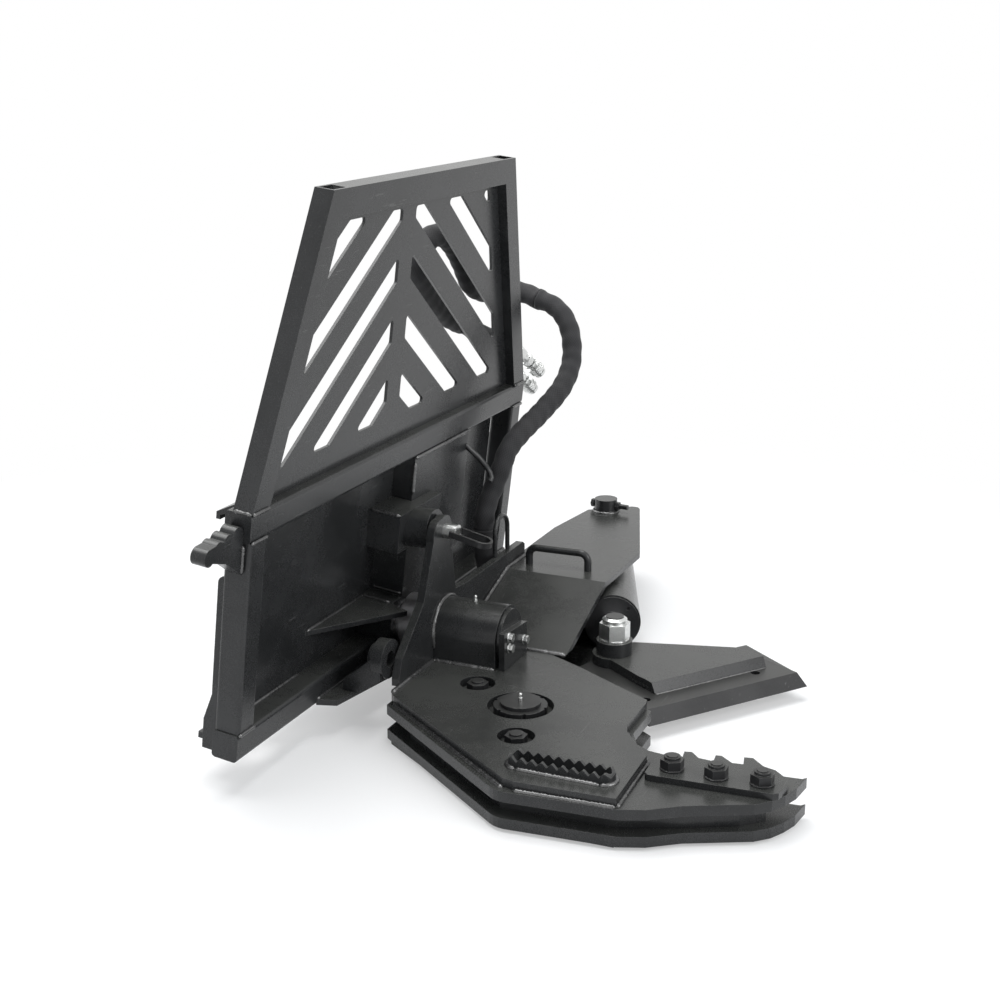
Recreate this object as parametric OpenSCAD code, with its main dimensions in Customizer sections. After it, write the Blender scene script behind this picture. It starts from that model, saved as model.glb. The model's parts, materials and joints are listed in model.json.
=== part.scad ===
// Rotating tree shear for a skid steer loader.
// Origin: on the shear pivot, at the ground. +Z up, jaws reach to -Y, mount frame stands at the back.

/* [Jaws] */
// Reach of the fixed jaw from the shear pivot to its tip
jaw_reach = 546; // [500:2:600]
// Distance of the jaw's outer edge from the pivot
jaw_out = 304; // [290:2:330]
// Distance of the jaw's cutting edge from the pivot
jaw_in = 61; // [50:1:75]
// Thickness of each jaw plate
jaw_t = 19; // [15:0.5:22]
// Gap between the two jaw plates
jaw_gap = 30; // [28:0.5:36]
// Thickness of the reinforcing plate on the upper jaw
top_t = 16; // [10:0.5:20]
// Thickness of the skid plate under the lower jaw
skid_t = 6; // [4:0.5:12]
// Thickness of the tooth plate
tooth_t = 12; // [8:0.5:16]
// Height of the serrated grip loop
grip_h = 20; // [12:1:30]

/* [Blade] */
// Length of the knife from the pivot to its point
knife_len = 615; // [590:1:640]
// Width of the knife plate
knife_w = 192; // [170:1:210]
// Width of the ground bevel on the knife
bevel_w = 22; // [12:1:30]
// Thickness of the knife plate
knife_t = 24.5; // [20:0.5:26]
// Thickness of the blade's upper plate
body_t = 20; // [12:0.5:24]
// Radius of the blade's hub
hub_r = 98; // [85:1:104]
// Radius of the shear pivot pin
pivot_r = 35; // [28:0.5:40]
// Largest closing angle of the blade
close_angle = 55; // [40:1:55]

/* [Cylinder] */
// Outer diameter of the barrel
barrel_d = 120; // [100:1:120]
// Bore of the barrel
barrel_bore = 101.6; // [80:0.2:104]
// Diameter of the piston rod
rod_d = 50; // [38:1:52]
// Height of the rod eye
eye_h = 28; // [20:1:28]
// Radius of the rod eye
eye_r = 36.5; // [32:0.5:40]
// Radius of the rod bolt
rod_bolt_r = 18; // [14:0.5:20]
// Radius of the base pin
base_pin_r = 19; // [15:0.5:22]
// Distance from the rod bolt to the gland's face
gland_off = 128; // [120:1:140]
// Distance from the base pin to the barrel's closed end
base_off = 74; // [66:1:84]

/* [Head] */
// Height of the cover plate's top above the ground
cover_z = 169; // [165:1:190]
// Thickness of the cover plate
cover_t = 12; // [6:0.5:16]
// Thickness of the back plate
back_t = 16; // [12:1:25]
// Height of the lift handle above the cover plate
handle_h = 38; // [30:1:60]
// Radius of the lift handle's rod
handle_r = 8; // [5:0.5:10]

/* [Rotation] */
// Height of the turning axis above the ground
axis_z = 140; // [136:1:146]
// Radius of the turning shaft
shaft_r = 42; // [34:0.5:44]
// Wall of the bush in the turning housing
bush_wall = 4; // [3:0.5:6]
// Outer radius of the turning housing
housing_r = 62; // [58:0.5:64]
// Length of the turning housing
housing_l = 133; // [110:1:140]
// Distance of the lock sockets from the turning axis
lock_r = 200; // [190:1:206]
// Radius of the lock pin
lock_pin_r = 15; // [10:0.5:17]
// Travel of the lock pin into its socket
lock_in = 26; // [15:1:30]

/* [Mount frame] */
// Width of the mount frame
frame_w = 1143; // [1100:1:1180]
// Height of the lower frame
frame_h = 457; // [440:1:480]
// Height of the guard above the lower frame
guard_h = 515; // [400:5:600]
// Width of the guard at its top
guard_top_w = 756; // [700:2:800]
// Depth of the guard's tube
guard_d = 38.1; // [36:0.1:50.8]
// Side of the square frame tube
tube = 50.8; // [45:0.2:55]
// Wall of the frame tube
tube_wall = 5; // [3:0.5:8]
// Thickness of the sheet between the tubes
sheet_t = 6; // [4:0.5:10]
// Thickness of the guard's sheet
grille_t = 6; // [3:0.5:8]
// Forward lean of the mount frame
lean = 6.85; // [5:0.05:8]
// Distance between the two lower attachment slots
slot_pitch = 800; // [700:5:900]

/* [Hoses] */
// Diameter of the sleeved hose pair
sleeve_d = 50; // [40:1:50]
// Diameter of each coupler hose
tail_d = 20; // [14:1:22]

/* [Hidden] */

// Running clearances: a pin in its bore, a moving face, a loose hole.
fit = 0.05;
run = 0.5;
loose = 1;

// Stack of the head, from the ground up.
low_z = skid_t;
gap_z = low_z + jaw_t;
up_z = gap_z + jaw_gap;
top_z = up_z + jaw_t;
deck_z = top_z + top_t;
knife_z = gap_z + 2.5;
body_z = knife_z + knife_t;
eye_z = body_z + body_t + 0.3;
rod_z = eye_z + eye_h / 2;

// Back plate, housing and turning axis.
axis_x = 196;
back_y = 244;
rear_y = back_y + back_t;
house_y = back_y - housing_l;
socket_y = rear_y + 6;
bush_r = shaft_r + fit + bush_wall;
arm_top_z = axis_z + lock_r;

// Cylinder centre line, from the rod bolt to the base pin.
rod_pin = [361, -54];
base_pin_at = [988, 194];
cyl_dir = base_pin_at - rod_pin;
cyl_len = norm(cyl_dir);
cyl_angle = atan2(cyl_dir[1], cyl_dir[0]);
barrel_end = cyl_len - base_off;
gland_l = 46;
piston_l = 34;
rod_end = barrel_end - 26;

// Knife direction, seen from above.
knife_angle = -36.3;
knife_edge = -84.5;
knife_back = knife_edge + knife_w;
jaw_bolt_r = 132;
jaw_bolt_angles = [61, 199.5];

// Outline of the cover plate.
cover_low_x = 261;
cover_bend_x = 495;
cover_slope = (cover_z - deck_z) / (cover_bend_x - cover_low_x);

// Mount frame: place of its lower front edge, and the guard's slanted posts.
frame_at = [196, 373, 67];
half_w = frame_w / 2;
post_slope = (half_w - guard_top_w / 2) / guard_h;
post_w = tube / cos(atan(post_slope));
guard_z = frame_h + guard_h;
sheet_y = tube - sheet_t;
box_front = -25;
spine_x = -50;
grille_y = 20;

// Hose routes, chosen by hand.
supply_route = [[700, 442, 655], [650, 446, 675], [598, 446, 705], [545, 444, 735], [500, 438, 772],
    [462, 428, 815], [478, 418, 862], [528, 412, 872], [585, 410, 846], [632, 410, 800],
    [682, 412, 748], [745, 412, 722], [805, 408, 716], [846, 384, 713], [855, 350, 705],
    [850, 315, 695]];
crossing_route = [[849.95, 314.7, 694.9], [845, 280, 685], [835, 248, 661], [822, 226, 620], [800, 216, 566],
    [752, 220, 518], [686, 238, 478], [616, 256, 446], [566, 268, 416], [540, 274, 380],
    [528, 284, 344], [511, 293, 308], [500, 296, 276], [500, 296, 252.3]];
head_route = [[500, 296, 252], [500, 296, 228], [501, 296, 206], [506, 296, 184], [514, 296, 164]];
tail_routes = [
    [[704.8, 442, 666], [733, 439.8, 654.7], [774, 428, 634], [820, 398, 606], [842, 380, 588],
        [858, 372, 572]],
    [[695.8, 442, 643.8], [724, 439.8, 632.5], [768, 434, 604], [816, 414, 570], [842, 398, 546],
        [858, 390, 530]]];
// Basic shapes
module ring(r_out, r_in, h) {
    difference() {
        cylinder(r = r_out, h = h, $fn = 64);
        translate([0, 0, -1]) cylinder(r = r_in, h = h + 2, $fn = 64);
    }
}

module along_y(at, h, r, sides = 48) {
    translate(at) rotate([-90, 0, 0]) cylinder(r = r, h = h, $fn = sides);
}

module hex(af, h) {
    cylinder(r = af / 2 / cos(30), h = h, $fn = 6);
}

module rounded_square(w, r) {
    translate([r, 0]) square([w - 2 * r, w]);
    translate([0, r]) square([w, w - 2 * r]);
    for (x = [r, w - r], y = [r, w - r]) translate([x, y]) circle(r = r, $fn = 24);
}

module tube_section() {
    difference() {
        rounded_square(tube, 7);
        translate([tube_wall, tube_wall]) square(tube - 2 * tube_wall);
    }
}

// Straight square tube along X, from x0 to x1
module tube_x(x0, x1, z) {
    translate([x0, 0, z]) rotate([90, 0, 90]) linear_extrude(x1 - x0) tube_section();
}

module tube_z(x, z0, z1) {
    translate([x, 0, z0]) linear_extrude(z1 - z0) tube_section();
}

// A plate drawn in X and Z, with its thickness along Y
module upright_plate(y, t) {
    translate([0, y + t, 0]) rotate([90, 0, 0]) linear_extrude(t) children();
}

module in_frame() {
    translate(frame_at) rotate([lean, 0, 0]) children();
}

module at_rod_pin() {
    translate([rod_pin[0], rod_pin[1], 0]) rotate([0, 0, cyl_angle]) children();
}

// Quarter bend of a round bar: starts at the origin along +Z and turns to +X
module bend(r, turn, angle = 90) {
    translate([turn, 0, 0]) rotate([-90, 0, 0]) rotate([0, 0, 180])
        rotate_extrude(angle = angle, $fn = 48) translate([turn, 0]) circle(r = r, $fn = 24);
}

// Swept tube along a route: one ring per point, its ends flat
function unit(v) = v / norm(v);
function route_dir(p, i) = unit(p[min(i + 1, len(p) - 1)] - p[max(i - 1, 0)]);
function route_side(d) = unit(cross(d, abs(d[1]) < 0.9 ? [0, 1, 0] : [1, 0, 0]));
function ring_points(c, d, r, n) = let (s = route_side(d), u = cross(d, s))
    [for (k = [0 : n - 1]) c + r * (cos(360 * k / n) * s + sin(360 * k / n) * u)];
module swept_tube(p, r, n = 10) {
    last = len(p) - 1;
    points = [for (i = [0 : last]) each ring_points(p[i], route_dir(p, i), r, n)];
    sides = [for (i = [0 : last - 1], k = [0 : n - 1])
        [i * n + k, i * n + (k + 1) % n, (i + 1) * n + (k + 1) % n, (i + 1) * n + k]];
    ends = [[for (k = [n - 1 : -1 : 0]) k], [for (k = [0 : n - 1]) last * n + k]];
    polyhedron(points, concat(sides, ends), convexity = 6);
}

// Mount frame, drawn upright and then leaned forward
module lower_frame() {
    color([0.11, 0.11, 0.12]) in_frame() {
        tube_x(-half_w, half_w, 0);
        tube_x(-half_w, half_w, frame_h - tube);
        for (x = [-half_w, half_w - tube]) tube_z(x, tube, frame_h - tube);
    }
}

module frame_end_caps() {
    color([0.1, 0.1, 0.11]) in_frame()
        for (x = [-half_w - 3, half_w], z = [0, frame_h - tube])
            translate([x, 0, z]) rotate([90, 0, 90]) linear_extrude(3) rounded_square(tube, 7);
}

module post_outline(inset) {
    polygon([[half_w - inset, frame_h], [half_w - post_w + inset, frame_h],
        [guard_top_w / 2 - post_w + inset, guard_z], [guard_top_w / 2 - inset, guard_z]]);
}

module guard_post() {
    difference() {
        upright_plate(0, guard_d) post_outline(0);
        translate([0, 0, -1]) upright_plate(tube_wall, guard_d - 2 * tube_wall) post_outline(tube_wall);
        translate([0, 0, 1]) upright_plate(tube_wall, guard_d - 2 * tube_wall) post_outline(tube_wall);
    }
}

function post_inner(z) = half_w - post_w - post_slope * (z - frame_h);

module guard_frame() {
    color([0.11, 0.11, 0.12]) in_frame() {
        guard_post();
        mirror([1, 0, 0]) guard_post();
        difference() {
            upright_plate(0, guard_d) polygon([[-post_inner(guard_z - tube), guard_z - tube],
                [post_inner(guard_z - tube), guard_z - tube],
                [post_inner(guard_z), guard_z], [-post_inner(guard_z), guard_z]]);
            translate([-half_w, tube_wall, guard_z - tube + tube_wall])
                cube([frame_w, guard_d - 2 * tube_wall, tube - 2 * tube_wall]);
        }
    }
}

// One slanted opening band of the guard, on the side given by s
module grille_band(z, s) {
    h = 50;
    run_x = 460;
    polygon([[spine_x + s * 27, z], [spine_x + s * (27 + run_x), z - 0.71 * run_x],
        [spine_x + s * (27 + run_x), z - 0.71 * run_x + h], [spine_x + s * 27, z + h]]);
}

module grille_window() {
    z0 = frame_h + tube - 2;
    z1 = guard_z - tube - 12;
    polygon([[-post_inner(z0) + 34, z0], [post_inner(z0) - 56, z0],
        [post_inner(z1) - 38, z1], [-post_inner(z1) + 30, z1]]);
}

module guard_grille() {
    z0 = frame_h;
    z1 = guard_z - tube;
    color([0.13, 0.13, 0.14]) in_frame() upright_plate(grille_y, grille_t) difference() {
        polygon([[-post_inner(z0), z0], [post_inner(z0), z0], [post_inner(z1), z1], [-post_inner(z1), z1]]);
        offset(r = 7, $fn = 16) offset(delta = -7) intersection() {
            grille_window();
            for (k = [0 : 6], s = [-1, 1]) grille_band(frame_h + 85 + 115 * k, s);
        }
    }
}

module attach_sheet() {
    color([0.12, 0.12, 0.13]) in_frame()
        translate([-half_w + tube + 10, sheet_y, tube])
            cube([frame_w - 2 * tube - 20, sheet_t, frame_h - 2 * tube]);
}

module hook_lip() {
    color([0.12, 0.12, 0.13]) in_frame()
        translate([-half_w + 40, 0, 0]) rotate([90, 0, 90]) linear_extrude(frame_w - 80)
            polygon([[tube, frame_h], [tube + 44, frame_h - 26], [tube + 44, frame_h - 39],
                [tube + 36, frame_h - 39], [tube + 36, frame_h - 31], [tube, frame_h - 13]]);
}

module wedge_flange() {
    slot = [72, 30];
    color([0.12, 0.12, 0.13]) in_frame() difference() {
        translate([-half_w + 40, tube, 0]) cube([frame_w - 80, 56, 12]);
        for (s = [-1, 1]) translate([s * slot_pitch / 2 - slot[0] / 2, tube + 12, -1]) cube([slot[0], slot[1], 14]);
    }
}

module side_ribs() {
    color([0.11, 0.11, 0.12]) in_frame() for (x = [-half_w + 8, half_w - 18]) translate([x, 0, 0])
        rotate([90, 0, 90]) linear_extrude(10) {
            polygon([[tube, 4], [tube + 27, 4], [tube + 27, 60], [tube + 13, 110], [tube + 13, 320], [tube, 320]]);
            translate([tube, 320]) intersection() {
                circle(r = 13, $fn = 32);
                square(13);
            }
        }
}

module mast_plate() {
    color([0.13, 0.13, 0.14]) in_frame() {
        upright_plate(0, 12) polygon([[35, frame_h - tube], [290, frame_h - tube], [290, 146], [121, 146],
            [121, 296], [60, 317], [46, 290], [35, 304]]);
        translate([35, 12, 317]) cube([12, sheet_y - 12, frame_h - tube - 317]);
        translate([278, 12, 146]) cube([12, sheet_y - 12, frame_h - tube - 146]);
    }
}

// Fabricated box that carries the turning shaft and the upper lock socket
module hub_box() {
    color([0.11, 0.11, 0.12]) in_frame() difference() {
        translate([-60, box_front, 12]) cube([181, sheet_y - box_front, 304]);
        translate([-48, box_front + 16, 24]) cube([157, sheet_y, 98]);
        translate([-8, box_front + 16, 110]) cube([117, sheet_y, 160]);
        translate([-48, box_front + 16, 249]) cube([157, sheet_y, 55]);
        translate([-61, box_front - 1, 134]) cube([41, 200, 103]);
        translate([35, -0.3, 296]) cube([100, sheet_y + 1, 40]);
        translate([-100, -0.3, -1]) cube([300, 100, tube + 1.3]);
    }
}

module upper_gusset() {
    color([0.12, 0.12, 0.13]) in_frame() translate([0, 0, 122]) linear_extrude(10)
        polygon([[-281, sheet_y], [-60, sheet_y], [-60, box_front], [-74, box_front - 40]]);
}

module lower_gusset() {
    color([0.12, 0.12, 0.13]) in_frame() linear_extrude(12)
        polygon([[-300, 0], [-280, -34], [-45, -69], [40, -82], [110, -30], [110, 0]]);
}

// Lock sockets face the head at 0 and 90 degrees
module lock_sockets() {
    side_x = axis_x - lock_r;
    color([0.15, 0.15, 0.16]) {
        difference() {
            along_y([axis_x, socket_y, arm_top_z], 90, 40, 64);
            along_y([axis_x, socket_y - 1, arm_top_z], lock_in + 8, lock_pin_r + loose);
            in_frame() translate([-300, box_front - 0.3, -200]) cube([800, 300, 700]);
        }
        difference() {
            union() {
                along_y([side_x, socket_y, axis_z], 24, 38, 64);
                along_y([side_x, socket_y + 23.9, axis_z], 12, 26, 48);
                translate([side_x - 34, 0, 0]) rotate([90, 0, 90]) linear_extrude(68)
                    polygon([[socket_y + 5, axis_z - 34], [socket_y + 62, 66], [352, 66], [352, 92],
                        [socket_y + 24, axis_z + 8], [socket_y + 5, axis_z + 8]]);
            }
            along_y([side_x, socket_y - 1, axis_z], 50, lock_pin_r + loose);
            in_frame() translate([-600, -300, -100]) cube([1200, 500, 112.3]);
        }
    }
}

module turning_shaft() {
    color([0.16, 0.16, 0.17]) difference() {
        union() {
            along_y([axis_x, house_y + 12.5, axis_z], 240, shaft_r, 96);
            along_y([axis_x, rear_y + 3, axis_z], 60, 59, 96);
        }
        in_frame() translate([-300, box_front - 0.3, -200]) cube([600, 300, 600]);
    }
}

module shaft_retainer() {
    color([0.62, 0.63, 0.64]) difference() {
        along_y([axis_x, house_y + 2.5, axis_z], 10, 50, 64);
        for (a = [90, 210, 330])
            along_y([axis_x + 26 * cos(a), house_y, axis_z + 26 * sin(a)], 20, 6, 24);
    }
}

module comb_bracket() {
    root = -half_w - 3.3;
    color([0.12, 0.12, 0.13]) in_frame() upright_plate(14, 27) {
        polygon([[root - 100, 424], [root - 100, 401], [root - 48, 384], [-half_w, 348],
            [-half_w, frame_h - tube - 1], [root, frame_h - tube - 1], [root, 428]]);
        for (i = [0 : 3]) translate([root - 16 - 27 * i, 424 - 5 * i]) circle(r = 15, $fn = 32);
    }
}

module hose_hook() {
    color([0.14, 0.14, 0.15]) in_frame() difference() {
        swept_tube([[283, 4, 375], [288, -8, 364], [297, -26, 348],
        [303, -42, 331], [303, -53, 319], [300, -58, 310], [295, -57, 303]], 6, 12);
        translate([200, -0.3, 300]) cube([200, 50, 200]);
    }
}

// Head: back plate with its arm, cover, jaws and turning housing
module back_outline() {
    polygon([[6, low_z], [650, low_z], [650, gap_z], [800, gap_z], [800, cover_z - cover_t],
        [600, cover_z - cover_t], [600, 194], [590, 201], [300, 201], [241, 206], [229, 285],
        [axis_x, 335], [146, 335], [98, 222], [2, 140], [-12, 104], [-12, deck_z], [6, deck_z]]);
    translate([176, 336]) circle(r = 32, $fn = 64);
    translate([axis_x, arm_top_z]) circle(r = 31, $fn = 64);
}

module back_plate() {
    color([0.13, 0.13, 0.14]) difference() {
        upright_plate(back_y, back_t) back_outline();
        along_y([axis_x, back_y - 1, axis_z], back_t + 2, bush_r + fit, 96);
        along_y([axis_x, back_y - 1, arm_top_z], back_t + 2, lock_pin_r + fit);
    }
}

module rear_web() {
    color([0.12, 0.12, 0.13]) translate([0, 0, gap_z]) linear_extrude(cover_z - cover_t - gap_z)
        polygon([[800, 257], [811, 257], [940, 233.8], [937.6, 220], [800, 244.5]]);
}

module cover_outline() {
    polygon([[cover_low_x, 12], [cover_bend_x, 15], [708, 13], [715, 14], [1033, 123], [1046, 132],
        [1047, 147], [978, 236], [811, rear_y - 3], [647, rear_y - 3], [600.5, rear_y - 3],
        [600, back_y], [cover_low_x, back_y]]);
}

module cover_plate() {
    drop = cover_t / cos(atan(cover_slope));
    color([0.14, 0.14, 0.15]) difference() {
        intersection() {
            translate([0, 300, 0]) rotate([90, 0, 0]) linear_extrude(300)
                polygon([[cover_low_x, deck_z], [cover_bend_x, cover_z], [1100, cover_z],
                    [1100, cover_z - cover_t], [cover_bend_x + (drop - cover_t) / cover_slope, cover_z - cover_t],
                    [cover_low_x + drop / cover_slope, deck_z]]);
            linear_extrude(300) cover_outline();
        }
        translate([base_pin_at[0], base_pin_at[1], 0]) cylinder(r = base_pin_r + loose, h = 300, $fn = 48);
    }
}

// Outline shared by both jaw plates, from the back along the outer edge to the tip and the throat
module jaw_outline() {
    corner_r = 50;
    corner = [-jaw_out + corner_r, -98];
    polygon(concat(
        [[-64, back_y]],
        [for (a = [144 : 12 : 180]) corner + corner_r * [cos(a), sin(a)]],
        [[-jaw_out + 16, -290], [-jaw_out + 34, -335], [-233, -jaw_reach + 161], [-180, -jaw_reach + 55],
            [-157, -jaw_reach + 32], [-129, -jaw_reach + 17], [-98, -jaw_reach + 6], [-50, -jaw_reach],
            [-jaw_in + 3, -jaw_reach + 6], [-jaw_in, -jaw_reach + 36], [-jaw_in, -300], [-57, -268], [-40, -240],
            [0, -220], [104, -219], [140, -170], [205, -45], [246, 40], [246, back_y]]));
}

module pivot_and_bolt_holes(z, h) {
    translate([0, 0, z - 1]) cylinder(r = pivot_r + fit, h = h + 2, $fn = 96);
    for (a = jaw_bolt_angles) translate([jaw_bolt_r * cos(a), jaw_bolt_r * sin(a), z - 1])
        cylinder(r = 12.5, h = h + 2, $fn = 32);
}

module upper_jaw() {
    color([0.14, 0.14, 0.15]) difference() {
        translate([0, 0, up_z]) linear_extrude(jaw_t) jaw_outline();
        pivot_and_bolt_holes(up_z, jaw_t);
        for (p = tooth_bolt_at()) translate([p[0], p[1], up_z - 1]) cylinder(r = 10.5, h = jaw_t + 2, $fn = 32);
    }
}

module lower_jaw() {
    color([0.13, 0.13, 0.14]) difference() {
        translate([0, 0, low_z]) linear_extrude(jaw_t) {
            jaw_outline();
            polygon([[240, 60], [300, 132], [900, 132], [base_pin_at[0] + 6, base_pin_at[1] - 44],
                [base_pin_at[0] + 6, base_pin_at[1] + 44], [800, 256], [800, back_y + 12], [650, back_y + 12],
                [650, back_y], [240, back_y]]);
            translate(base_pin_at) circle(r = 44, $fn = 64);
        }
        pivot_and_bolt_holes(low_z, jaw_t);
        translate([base_pin_at[0], base_pin_at[1], 0]) cylinder(r = base_pin_r + loose, h = 60, $fn = 48);
    }
}

module top_outline() {
    polygon([[-57, 232], [-44, back_y], [cover_low_x - 3, back_y], [257, 44], [213, -42], [142, -161],
        [117, -206], [99, -209], [-7, -210], [-30, -218], [-63, -243], [-107, -281], [-jaw_out + 22, -287],
        [-jaw_out + 13, -110], [-jaw_out + 18, -88]]);
}

module top_plate() {
    color([0.14, 0.14, 0.15]) difference() {
        translate([0, 0, top_z]) linear_extrude(top_t) top_outline();
        translate([0, 0, top_z - 1]) cylinder(r = 62, h = top_t + 2, $fn = 96);
        for (a = jaw_bolt_angles) translate([jaw_bolt_r * cos(a), jaw_bolt_r * sin(a), top_z - 1])
            cylinder(r = 34, h = top_t + 2, $fn = 48);
    }
}

module skid_plate() {
    color([0.12, 0.12, 0.13]) linear_extrude(skid_t)
        polygon([[-72, 232], [-jaw_out + 18, -88], [-jaw_out + 24, -284], [-110, -284], [-40, -240],
            [90, -206], [190, -40], [190, 232]]);
}

module jaw_spacers() {
    color([0.11, 0.11, 0.12]) translate([0, 0, gap_z]) linear_extrude(jaw_gap) {
        polygon([[-84, 186], [-jaw_out + 34, -78], [-jaw_out + 44, -284], [-218, -378], [-172, -464],
            [-138, -500], [-122, -482], [-152, -446], [-190, -366], [-232, -276], [-242, -86], [-62, 172]]);
        translate([-20, 158]) square([260, back_y - 158]);
    }
}

module turning_housing() {
    color([0.13, 0.13, 0.14]) difference() {
        union() {
            along_y([axis_x, house_y, axis_z], housing_l, housing_r, 96);
            translate([axis_x - housing_r, house_y, deck_z]) cube([2 * housing_r, housing_l, axis_z - deck_z]);
        }
        along_y([axis_x, house_y - 1, axis_z], housing_l + 2, bush_r + fit, 96);
        along_y([axis_x, house_y - 1, axis_z], 16, 52, 96);
        translate([axis_x - 100, house_y - 10, 0]) cube([200, 200, deck_z]);
        translate([axis_x, (house_y + back_y) / 2 + 2, axis_z]) cylinder(r = 4.5, h = 100, $fn = 24);
    }
}

module turning_bush() {
    color([0.62, 0.5, 0.28]) difference() {
        along_y([axis_x, house_y + 16, axis_z], rear_y - house_y - 16, bush_r, 96);
        along_y([axis_x, house_y, axis_z], rear_y - house_y + 2, shaft_r + fit, 96);
    }
}

// Round cap of the housing, with the keeper plate on its face
module keeper_plate() {
    color([0.12, 0.12, 0.13]) {
        difference() {
            along_y([axis_x, house_y - 8, axis_z], 7.7, 56, 96);
            translate([axis_x - 100, house_y - 50, 0]) cube([200, 100, deck_z]);
        }
        upright_plate(house_y - 20, 12.1) polygon([[axis_x - 60, deck_z + 0.3], [axis_x + 52, deck_z + 0.3],
            [axis_x + 52, axis_z + 16], [axis_x - 60, axis_z + 26]]);
    }
}

module keeper_bolts() {
    color([0.68, 0.68, 0.66])
        for (p = [[-40, 14], [-40, -8], [34, -16]]) translate([axis_x + p[0], house_y - 20, axis_z + p[1]])
            rotate([90, 0, 0]) {
                cylinder(r = 10, h = 2, $fn = 32);
                hex(15, 10);
            }
}

module nipple() {
    cylinder(r = 4, h = 6, $fn = 24);
    translate([0, 0, 6]) cylinder(r = 2.2, h = 5, $fn = 24);
    translate([0, 0, 12]) sphere(r = 3.2, $fn = 20);
}

module grease_nipples() {
    color([0.66, 0.66, 0.64]) {
        translate([0, 0, deck_z + 10]) nipple();
        translate([axis_x, (house_y + back_y) / 2 + 2, axis_z + housing_r - 2]) nipple();
    }
}

module lift_handle() {
    turn = 18;
    span = 134;
    color([0.1, 0.1, 0.11]) translate([550, 76, cover_z]) rotate([0, 0, 92]) {
        cylinder(r = handle_r, h = handle_h - turn, $fn = 24);
        translate([0, 0, handle_h - turn]) bend(handle_r, turn);
        translate([turn, 0, handle_h]) rotate([0, 90, 0]) cylinder(r = handle_r, h = span - 2 * turn, $fn = 24);
        translate([span, 0, handle_h - turn]) mirror([1, 0, 0]) bend(handle_r, turn);
        translate([span, 0, 0]) cylinder(r = handle_r, h = handle_h - turn, $fn = 24);
    }
}

function tooth_bolt_at() = [[-132, -334], [-132, -411], [-126, -488]];

module hook_tooth(y) {
    polygon([[-jaw_in - 14, y - 26], [-jaw_in + 24, y - 2], [-jaw_in + 12, y + 22], [-jaw_in - 14, y + 36]]);
}

module tooth_plate() {
    color([0.13, 0.13, 0.14]) difference() {
        translate([0, 0, top_z]) linear_extrude(tooth_t) {
            polygon([[-170, -304], [-158, -520], [-148, -530], [-96, -526], [-jaw_in - 14, -500],
                [-jaw_in - 14, -312], [-96, -298], [-160, -296]]);
            for (y = [-334, -388, -442]) hook_tooth(y);
        }
        for (p = tooth_bolt_at()) translate([p[0], p[1], top_z - 1]) cylinder(r = 10.5, h = 30, $fn = 32);
    }
}

module tooth_bolts() {
    color([0.4, 0.4, 0.4]) for (p = tooth_bolt_at()) translate([p[0], p[1], 0]) {
        translate([0, 0, up_z + 4]) cylinder(r = 10, h = tooth_t + jaw_t + 22, $fn = 32);
        translate([0, 0, top_z + tooth_t]) {
            cylinder(r = 21, h = 3, $fn = 48);
            translate([0, 0, 3]) hex(36, 16);
            translate([0, 0, 18]) cylinder(r = 14, h = 6, $fn = 32);
        }
    }
}

// Oblong loop of flat bar with saw teeth along its top edge
module grip_outline(r) {
    for (y = [-95, -246]) translate([-227, y]) circle(r = r, $fn = 48);
    translate([-227 - r, -246]) square([2 * r, 151]);
}

module grip_loop() {
    color([0.16, 0.16, 0.17]) difference() {
        translate([0, 0, deck_z]) linear_extrude(grip_h) difference() {
            grip_outline(20.5);
            grip_outline(13.5);
        }
        for (k = [0 : 10]) translate([-270, -262.5 + 18.5 * k, deck_z + grip_h])
            rotate([0, 90, 0]) cylinder(r = 8, h = 100, $fn = 4);
    }
}

module jaw_bolts() {
    color([0.2, 0.2, 0.21]) for (a = jaw_bolt_angles)
        translate([jaw_bolt_r * cos(a), jaw_bolt_r * sin(a), low_z]) {
            cylinder(r = 12, h = top_z - low_z + 22, $fn = 32);
            translate([0, 0, top_z - low_z]) {
                cylinder(r = 22, h = 3, $fn = 48);
                translate([0, 0, 3]) hex(36, 15);
            }
            translate([0, 0, jaw_t]) difference() {
                cylinder(r = 18, h = jaw_gap, $fn = 48);
                translate([0, 0, -1]) cylinder(r = 12.2, h = jaw_gap + 2, $fn = 32);
            }
        }
}

module pivot_pin() {
    color([0.15, 0.15, 0.16]) {
        translate([0, 0, low_z]) cylinder(r = pivot_r, h = deck_z + 3 - low_z, $fn = 96);
        translate([0, 0, deck_z + 3]) cylinder(r = 38, h = 7, $fn = 96);
    }
}

module pivot_ring() {
    color([0.2, 0.2, 0.2]) translate([0, 0, top_z]) difference() {
        ring(50, pivot_r + fit, top_t + 3);
        for (a = [30 : 60 : 330]) translate([50 * cos(a), 50 * sin(a), -1]) cylinder(r = 4, h = 40, $fn = 24);
    }
}

module base_collar() {
    at = [base_pin_at[0], base_pin_at[1], cover_z];
    color([0.12, 0.12, 0.13]) translate(at) difference() {
        cylinder(r = 27, h = 31, $fn = 64);
        translate([0, 0, 16]) rotate([90, 0, -6]) cylinder(r = 6.2, h = 100, center = true, $fn = 32);
    }
    color([0.68, 0.68, 0.66]) translate(at + [0, 0, 16]) rotate([90, 0, -6]) {
        translate([0, 0, -38]) cylinder(r = 6, h = 96, $fn = 32);
        translate([0, 0, 27]) hex(18, 9);
        translate([0, 0, -37]) hex(18, 9);
    }
}

module hose_ring() {
    leg = 50;
    half = 33;
    color([0.14, 0.14, 0.15]) translate([500, back_y + 13, 201.3]) {
        for (x = [-half, half]) translate([x, 0, 0]) cylinder(r = 5, h = leg, $fn = 24);
        translate([-half, 0, leg]) bend(5, half, 180);
    }
}

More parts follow.
